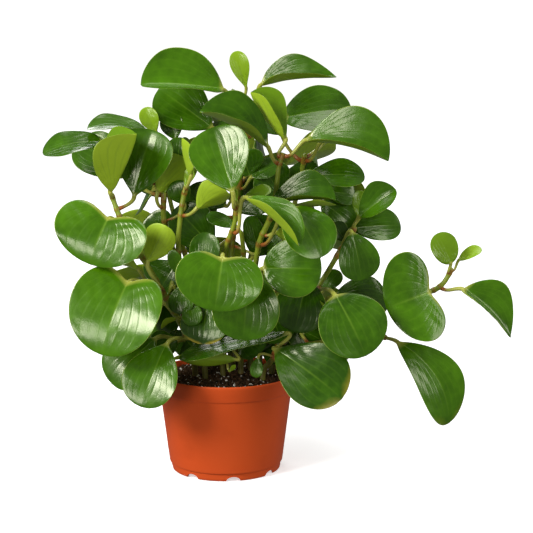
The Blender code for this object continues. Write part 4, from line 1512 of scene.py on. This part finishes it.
@dataclass
class NurseryPot:
    """Moulded pot: tapered wall, proud rim band, rounded lip, stepped foot with slots, drain holes.

    Sizes are in millimetres and angles in degrees.
    """

    height: float = 84.0
    rim_radius: float = 60.0
    wall_top: float = 58.6
    wall_base: float = 48.6
    wall: float = 1.5
    band_height: float = 14.0
    band_step: float = 0.7
    foot_height: float = 6.0
    foot_radius: float = 47.2
    foot_ring: float = 2.4
    floor_top: float = 7.5
    floor_under: float = 5.5
    pad_radius: float = 10.0
    slots: int = 8
    slot_width: float = 12.0
    slot_height: float = 3.8
    slot_circle: float = 46.0
    slot_reach: float = 16.0
    slot_phase: float = -81.0
    holes: int = 8
    hole_radius: float = 3.5
    hole_circle: float = 34.0
    sides: int = 192
    sharp_edge: float = 38.0

    def wall_at(self, z: float) -> float:
        """Outer radius of the wall at a height."""
        share = (z - self.foot_height) / (self.height - self.foot_height)
        return self.wall_base + (self.wall_top - self.wall_base) * share

    def profile(self) -> list[tuple[float, float]]:
        """Section of the pot from the floor's middle, up inside, over the lip and down outside.

        Returns:
            Radius and height of each point, in millimetres.
        """
        band, top = self.height - self.band_height, self.height
        inner_foot = self.foot_radius - self.foot_ring
        inside = [(r, self.floor_top) for r in (6.0, 20.0, 38.0)]
        inside += [(self.wall_at(self.floor_top) - self.wall - 1.0, self.floor_top),
                   (self.wall_at(self.floor_top) - self.wall, self.floor_top + 1.0)]
        inside += [(self.wall_at(z) - self.wall, z) for z in (20.0, 34.0, 48.0, 60.0, 70.0, 78.0)]
        lip = [(self.rim_radius - 1.6, top - 1.2), (self.rim_radius - 1.35, top - 0.35),
               (self.rim_radius - 1.0, top - 0.05), (self.rim_radius - 0.6, top),
               (self.rim_radius - 0.2, top - 0.2), (self.rim_radius, top - 0.7),
               (self.rim_radius, top - 1.4)]
        outside = [(self.rim_radius - 0.12, top - 3.0),
                   (self.wall_at(band + 7) + self.band_step + 0.1, band + 7),
                   (self.wall_at(band) + self.band_step, band + 0.6),
                   (self.wall_at(band) + self.band_step - 0.12, band + 0.2),
                   (self.wall_at(band) + self.band_step - 0.45, band - 0.1),
                   (self.wall_at(band) + 0.05, band - 0.35)]
        outside += [(self.wall_at(z), z) for z in (68.5, 60.0, 48.0, 36.0, 24.0, 14.0, 8.6, 7.4)]
        foot = [(self.wall_at(7.0) - 0.15, 6.9), (self.foot_radius + 0.55, 6.5),
                (self.foot_radius + 0.1, 6.2), (self.foot_radius, 5.6), (self.foot_radius - 0.2, 2.0),
                (self.foot_radius - 0.4, 0.8), (self.foot_radius - 0.8, 0.2), (self.foot_radius - 1.2, 0.0),
                (inner_foot + 0.3, 0.0), (inner_foot, 0.3), (inner_foot, self.floor_under - 0.5),
                (inner_foot - 0.5, self.floor_under)]
        under = [(28.0, self.floor_under), (self.pad_radius, self.floor_under), (self.pad_radius, 0.3),
                 (self.pad_radius - 0.3, 0.0), (4.0, 0.0)]
        return inside + lip + outside + foot + under

    def shell(self) -> bpy.types.Mesh:
        """Turn the shell, before its slots and holes are cut.

        Returns:
            The closed mesh.
        """
        profile = self.profile()
        shape = bmesh.new()
        rings = [[shape.verts.new((r * MM * cos, r * MM * sin, z * MM)) for r, z in profile]
                 for cos, sin in (spoke(s, self.sides) for s in range(self.sides))]
        first = shape.verts.new((0, 0, self.floor_top * MM))
        last = shape.verts.new((0, 0, 0))
        for s in range(self.sides):
            here, there = rings[s], rings[(s + 1) % self.sides]
            for k in range(len(profile) - 1):
                shape.faces.new((here[k], there[k], there[k + 1], here[k + 1]))
            shape.faces.new((first, there[0], here[0]))
            shape.faces.new((last, here[-1], there[-1]))
        bmesh.ops.recalc_face_normals(shape, faces=shape.faces)
        return as_mesh(shape, "pot_shell")

    def recipe(self) -> Recipe:
        """Tree that cuts a ring of foot slots and a ring of drain holes in the shell.

        Returns:
            The finished recipe.
        """
        recipe = Recipe("slotted_foot", {
            "Slots": "NodeSocketInt", "Slot circle": "NodeSocketFloat", "Slot size": "NodeSocketVector",
            "Slot turn": "NodeSocketFloat", "Holes": "NodeSocketInt", "Hole circle": "NodeSocketFloat",
            "Hole radius": "NodeSocketFloat", "Hole turn": "NodeSocketFloat"})
        bar = recipe.node("GeometryNodeMeshCylinder", {"Vertices": 40, "Radius": 0.5, "Depth": 1.0})
        slot = recipe.node("GeometryNodeTransform", {
            "Geometry": recipe.out(bar), "Rotation": (0, math.pi / 2, 0),
            "Scale": recipe.term("Slot size")})
        hole = recipe.node("GeometryNodeMeshCylinder", {
            "Vertices": 24, "Radius": recipe.term("Hole radius"), "Depth": 0.03})
        slots = self.ring(recipe, "Slots", "Slot circle", "Slot turn", recipe.out(slot))
        holes = self.ring(recipe, "Holes", "Hole circle", "Hole turn", recipe.out(hole))
        cutters = recipe.node("GeometryNodeJoinGeometry")
        for part in (slots, holes):
            recipe.tree.links.new(part.source, cutters.inputs[0])
        cut = recipe.node("GeometryNodeMeshBoolean", operation="DIFFERENCE", solver="EXACT")
        recipe.tree.links.new(recipe.term("Geometry").source, cut.inputs[0])
        real = recipe.node("GeometryNodeRealizeInstances", {"Geometry": recipe.out(cutters)})
        recipe.tree.links.new(real.outputs[0], cut.inputs[1])
        recipe.close(recipe.out(cut), False)
        return recipe

    @staticmethod
    def ring(recipe: Recipe, count: str, circle: str, turn: str, shape: Term) -> Term:
        """Copies of a cutter round the pot's axis, each turned to face out.

        Args:
            recipe: The recipe that takes them.
            count: Input that says how many.
            circle: Input with the circle's radius.
            turn: Input with the first one's angle.
            shape: The cutter.

        Returns:
            The placed copies.
        """
        points = recipe.node("GeometryNodePoints", {"Count": recipe.term(count)})
        index = recipe.out(recipe.node("GeometryNodeInputIndex"))
        angle = index * TURN / recipe.term(count) + recipe.term(turn)
        radius = recipe.term(circle)
        place = recipe.node("ShaderNodeCombineXYZ", {0: angle.maths("COSINE") * radius,
                                                     1: angle.maths("SINE") * radius})
        spin = recipe.node("ShaderNodeCombineXYZ", {2: angle})
        set_out = recipe.node("GeometryNodeSetPosition",
                              {"Geometry": recipe.out(points), "Position": recipe.out(place)})
        copies = recipe.node("GeometryNodeInstanceOnPoints", {
            "Points": recipe.out(set_out), "Instance": shape, "Rotation": recipe.out(spin)})
        return recipe.out(copies)

    def build(self, material: bpy.types.Material) -> None:
        """Make the pot.

        Args:
            material: Finish of the plastic.
        """
        phase = math.radians(self.slot_phase)
        mesh = self.recipe().mesh(self.shell(), {
            "Slots": self.slots, "Slot circle": self.slot_circle * MM, "Slot turn": phase,
            "Slot size": [2 * self.slot_height * MM, self.slot_width * MM, self.slot_reach * MM],
            "Holes": self.holes, "Hole circle": self.hole_circle * MM,
            "Hole radius": self.hole_radius * MM, "Hole turn": phase + math.pi / self.slots,
            "Material": material}, "pot_shell_moulded")
        close_and_face_out(mesh)
        shape = bmesh.new()
        shape.from_mesh(mesh)
        for face in shape.faces:
            face.smooth = True
        for edge in shape.edges:
            if len(edge.link_faces) == 2 and edge.calc_face_angle(0.0) > math.radians(self.sharp_edge):
                edge.smooth = False
        shape.to_mesh(mesh)
        shape.free()
        piece("pot_shell_moulded", mesh, ("pot",))


@dataclass
class PottingSoil:
    """Peat plug with an uneven top, loose crumbs and white perlite grains.

    Sizes are in millimetres. `strewn_radius` is how far out the grains lie, on a grid of
    `strewn_cells` by as many.
    """

    radius_low: float = 47.0
    radius_top: float = 56.4
    low: float = 7.9
    edge: float = 79.4
    mound: float = 4.0
    roughness: float = 1.1
    rings: int = 46
    sides: int = 144
    strewn_radius: float = 54.5
    strewn_cells: int = 48

    def height(self, x: float, y: float) -> float:
        """Height of the soil's top.

        Args:
            x: Place to the right of the pot's axis, in millimetres.
            y: Place behind it.

        Returns:
            The height, in millimetres.
        """
        share = min(1.0, math.hypot(x, y) / self.radius_top)
        rough = (noise.noise(Vector((x, y, 0)) * 0.09) * 1.0 + noise.noise(Vector((x, y, 9)) * 0.28) * 0.8
                 + noise.noise(Vector((x, y, 5)) * 0.7) * 0.35)
        return self.edge + self.mound * (1 - share ** 2) + self.roughness * rough * (1.15 - share * 0.6)

    def plug(self) -> bpy.types.Mesh:
        """Close the plug from its flat bottom to its uneven top.

        Returns:
            The closed mesh.
        """
        shape = bmesh.new()
        spokes = [spoke(s, self.sides) for s in range(self.sides)]
        radii = [self.radius_top * k / self.rings for k in range(self.rings, 0, -1)]
        grid = [[(r * cos, r * sin) for cos, sin in spokes] for r in radii]
        loops = [[shape.verts.new((self.radius_low * MM * cos, self.radius_low * MM * sin, self.low * MM))
                  for cos, sin in spokes]]
        loops += [[shape.verts.new((x * MM, y * MM, self.height(x, y) * MM)) for x, y in ring]
                  for ring in grid]
        for low, high in zip(loops, loops[1:]):
            for s in range(self.sides):
                n = (s + 1) % self.sides
                shape.faces.new((low[s], low[n], high[n], high[s]))
        shape.faces.new(list(reversed(loops[0])))
        top = shape.verts.new((0, 0, self.height(0, 0) * MM))
        for s in range(self.sides):
            shape.faces.new((loops[-1][s], loops[-1][(s + 1) % self.sides], top))
        bmesh.ops.recalc_face_normals(shape, faces=shape.faces)
        return as_mesh(shape, "peat_plug")

    def surface(self) -> bpy.types.Mesh:
        """Copy the soil's top as the open face that grains are strewn on.

        Returns:
            The open mesh.
        """
        shape = bmesh.new()
        reach, count = self.strewn_radius, self.strewn_cells
        verts = {}
        for i in range(count + 1):
            for j in range(count + 1):
                x, y = reach * (2 * i / count - 1), reach * (2 * j / count - 1)
                if math.hypot(x, y) <= reach:
                    verts[i, j] = shape.verts.new((x * MM, y * MM, self.height(x, y) * MM))
        for i in range(count):
            for j in range(count):
                corners = [verts.get(c) for c in ((i, j), (i + 1, j), (i + 1, j + 1), (i, j + 1))]
                if all(corners):
                    shape.faces.new(corners)
        return as_mesh(shape, "soil_top")

    @staticmethod
    def recipe() -> Recipe:
        """Tree that strews rough little grains over a surface.

        Returns:
            The finished recipe.
        """
        recipe = Recipe("strewn_grains", {
            "Per square metre": "NodeSocketFloat", "Smallest": "NodeSocketFloat",
            "Largest": "NodeSocketFloat", "Flatness": "NodeSocketFloat", "Roughness": "NodeSocketFloat",
            "Seed": "NodeSocketInt"})
        strewn = recipe.node("GeometryNodeDistributePointsOnFaces", {
            "Mesh": recipe.term("Geometry"), "Density": recipe.term("Per square metre"),
            "Seed": recipe.term("Seed")})
        grain = recipe.node("GeometryNodeMeshIcoSphere", {"Radius": 0.5, "Subdivisions": 2})
        size = recipe.node("FunctionNodeRandomValue", {"Min": 0.0, "Max": 1.0, "Seed": 3},
                           data_type="FLOAT")
        chance = Term(recipe.tree, next(s for s in size.outputs if s.type == "VALUE" and s.enabled))
        scale = recipe.term("Smallest").mix(recipe.term("Largest"), chance ** 2.2)
        flat = recipe.node("ShaderNodeCombineXYZ", {0: scale, 1: scale * 0.8,
                                                    2: scale * recipe.term("Flatness")})
        spin = recipe.node("FunctionNodeRandomValue", data_type="FLOAT_VECTOR")
        feed(recipe.tree, spin.inputs[1], (TURN, TURN, TURN))
        copies = recipe.node("GeometryNodeInstanceOnPoints", {
            "Points": recipe.out(strewn), "Instance": recipe.out(grain),
            "Rotation": recipe.out(spin), "Scale": recipe.out(flat)})
        real = recipe.node("GeometryNodeRealizeInstances", {"Geometry": recipe.out(copies)})
        rough = recipe.node("ShaderNodeTexNoise", {"Scale": 900.0, "Detail": 2.0})
        normal = recipe.out(recipe.node("GeometryNodeInputNormal"))
        push = normal.scaled((recipe.out(rough, 0) - 0.5) * recipe.term("Roughness"))
        moved = recipe.node("GeometryNodeSetPosition", {"Geometry": recipe.out(real), "Offset": push})
        recipe.close(recipe.out(moved), False)
        return recipe

    def build(self, peat: bpy.types.Material, crumb: bpy.types.Material,
              perlite: bpy.types.Material) -> None:
        """Make the plug, its crumbs and its perlite.

        Args:
            peat: Finish of the plug.
            crumb: Finish of the loose crumbs.
            perlite: Finish of the white grains.
        """
        plug = self.plug()
        plug.materials.append(peat)
        for polygon in plug.polygons:
            polygon.use_smooth = True
        piece("peat_plug", plug, ("soil",))
        recipe = self.recipe()
        for name, density, small, large, flatness, rough, seed, material in (
                ("peat_crumbs", 150000.0, 1.0, 4.2, 0.6, 0.0014, 4, crumb),
                ("perlite_grains", 22000.0, 0.8, 3.2, 0.75, 0.0007, 11, perlite)):
            mesh = recipe.mesh(self.surface(), {
                "Per square metre": density, "Smallest": small * MM, "Largest": large * MM,
                "Flatness": flatness, "Roughness": rough, "Seed": seed, "Material": material}, name)
            piece(name, mesh)


@dataclass
class Softbox:
    """One rectangular studio light aimed at the plant, in metres."""

    name: str
    place: Triple
    size: tuple[float, float]
    watts: float
    aim: Triple = (0.03, 0.0, 0.18)

    def build(self) -> None:
        """Add the light."""
        data = bpy.data.lights.new(self.name, "AREA")
        data.shape, data.size, data.size_y = "RECTANGLE", *self.size
        data.energy = self.watts
        obj = linked(self.name, data)
        obj.location = self.place
        obj.rotation_mode = "QUATERNION"
        obj.rotation_quaternion = (Vector(self.aim) - Vector(self.place)).to_track_quat("-Z", "Y")


@dataclass
class Studio:
    """White floor, white surroundings, soft boxes and the camera, in metres and degrees."""

    eye: Triple = (0.035, -1.200, 0.365)
    pitch: float = 9.0
    lens: float = 96.5
    floor_radius: float = 6.0
    floor_drop: float = 0.0002
    paper: Colour = (0.85, 0.85, 0.85)
    air_tint: Colour = (1.0, 0.99, 0.96)
    air_light: float = 0.22
    air_seen: float = 0.86
    boxes: tuple[Softbox, ...] = (
        Softbox("key_box", (-1.15, -1.05, 1.15), (0.6, 0.6), 32.0),
        Softbox("low_box", (-0.75, -1.75, 0.35), (0.6, 0.4), 10.0),
        Softbox("side_box", (1.35, -0.55, 0.75), (0.6, 0.8), 9.0),
        Softbox("top_box", (0.15, 0.05, 1.75), (0.9, 0.7), 9.0),
        Softbox("back_box", (-0.5, 1.5, 1.1), (0.8, 0.6), 8.0),
    )

    def floor(self) -> None:
        """Large pale round floor."""
        shape = bmesh.new()
        bmesh.ops.create_circle(shape, cap_ends=True, segments=96, radius=self.floor_radius)
        bmesh.ops.translate(shape, verts=shape.verts, vec=(0, 0, -self.floor_drop))
        mesh = as_mesh(shape, "floor")
        paper = Finish("white_paper")
        far = ((paper.place().join("ShaderNodeVectorMath", "LENGTH", output=1) - 0.5) * 0.7).eased()
        paper.set(Base_Color=(*self.paper, 1.0), Roughness=0.9, Emission_Color=(1, 1, 1, 1),
                  Emission_Strength=far * 0.45 + 0.55)
        mesh.materials.append(paper.material)
        floor = linked("floor", mesh)
        floor.visible_diffuse = floor.visible_glossy = False

    def air(self) -> None:
        """White surroundings to the eye, dim ones as a light."""
        scene = bpy.context.scene
        world = scene.world or bpy.data.worlds.new("studio")
        scene.world = world
        world.use_nodes = True
        tree = world.node_tree
        ground = tree.nodes["Background"]
        ground.inputs["Color"].default_value = (*self.air_tint, 1.0)
        seen = Term(tree, tree.nodes.new("ShaderNodeLightPath").outputs["Is Camera Ray"])
        feed(tree, ground.inputs["Strength"], seen * self.air_seen + self.air_light)

    def camera(self) -> None:
        """Camera in front, a little above, looking slightly down."""
        data = bpy.data.cameras.new("camera")
        data.lens, data.sensor_width = self.lens, 36.0
        data.clip_start, data.clip_end = 0.05, 50.0
        obj = linked("camera", data)
        obj.location = self.eye
        obj.rotation_euler = (math.radians(90.0 - self.pitch), 0.0, 0.0)
        bpy.context.scene.camera = obj

    def build(self) -> None:
        """Set up the whole studio."""
        bpy.context.scene.view_settings.view_transform = "Standard"
        self.air()
        self.floor()
        for box in self.boxes:
            box.build()
        self.camera()


def report_fit() -> None:
    """Log every stem and leaf whose box is far off the box of its solid."""
    for name in (*STEMS, *LEAVES):
        low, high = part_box(name)
        made = bpy.data.objects.get(name + "_flesh") or bpy.data.objects[name + "_blade"]
        spread = max(max(abs(made.bound_box[0][i] - low[i]), abs(made.bound_box[6][i] - high[i]))
                     for i in range(3))
        if spread > LOOSE_FIT:
            log.info("%s lies %.1f mm off its solid", name, spread / MM)


def main() -> None:
    """Build the pot, soil, stems, leaves and studio in order."""
    logging.basicConfig(level=logging.INFO, format="%(name)s: %(message)s")
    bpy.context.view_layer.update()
    NurseryPot().build(PotFinish().material)
    PottingSoil().build(SoilFinish("peat", 0.0).material, SoilFinish("peat_crumb", 0.25).material,
                        PerliteFinish().material)
    stems = Stems()
    every_leaf = [*LEAVES.values(), *(leaf for group in SMALL_LEAVES.values() for leaf in group)]
    stems.build(every_leaf, StemFinish().material)
    Foliage(stems).build(LeafFinish("waxy_leaf").material, LeafFinish("young_waxy_leaf").material)
    Studio().build()
    report_fit()


if __name__ == "__main__":
    main()
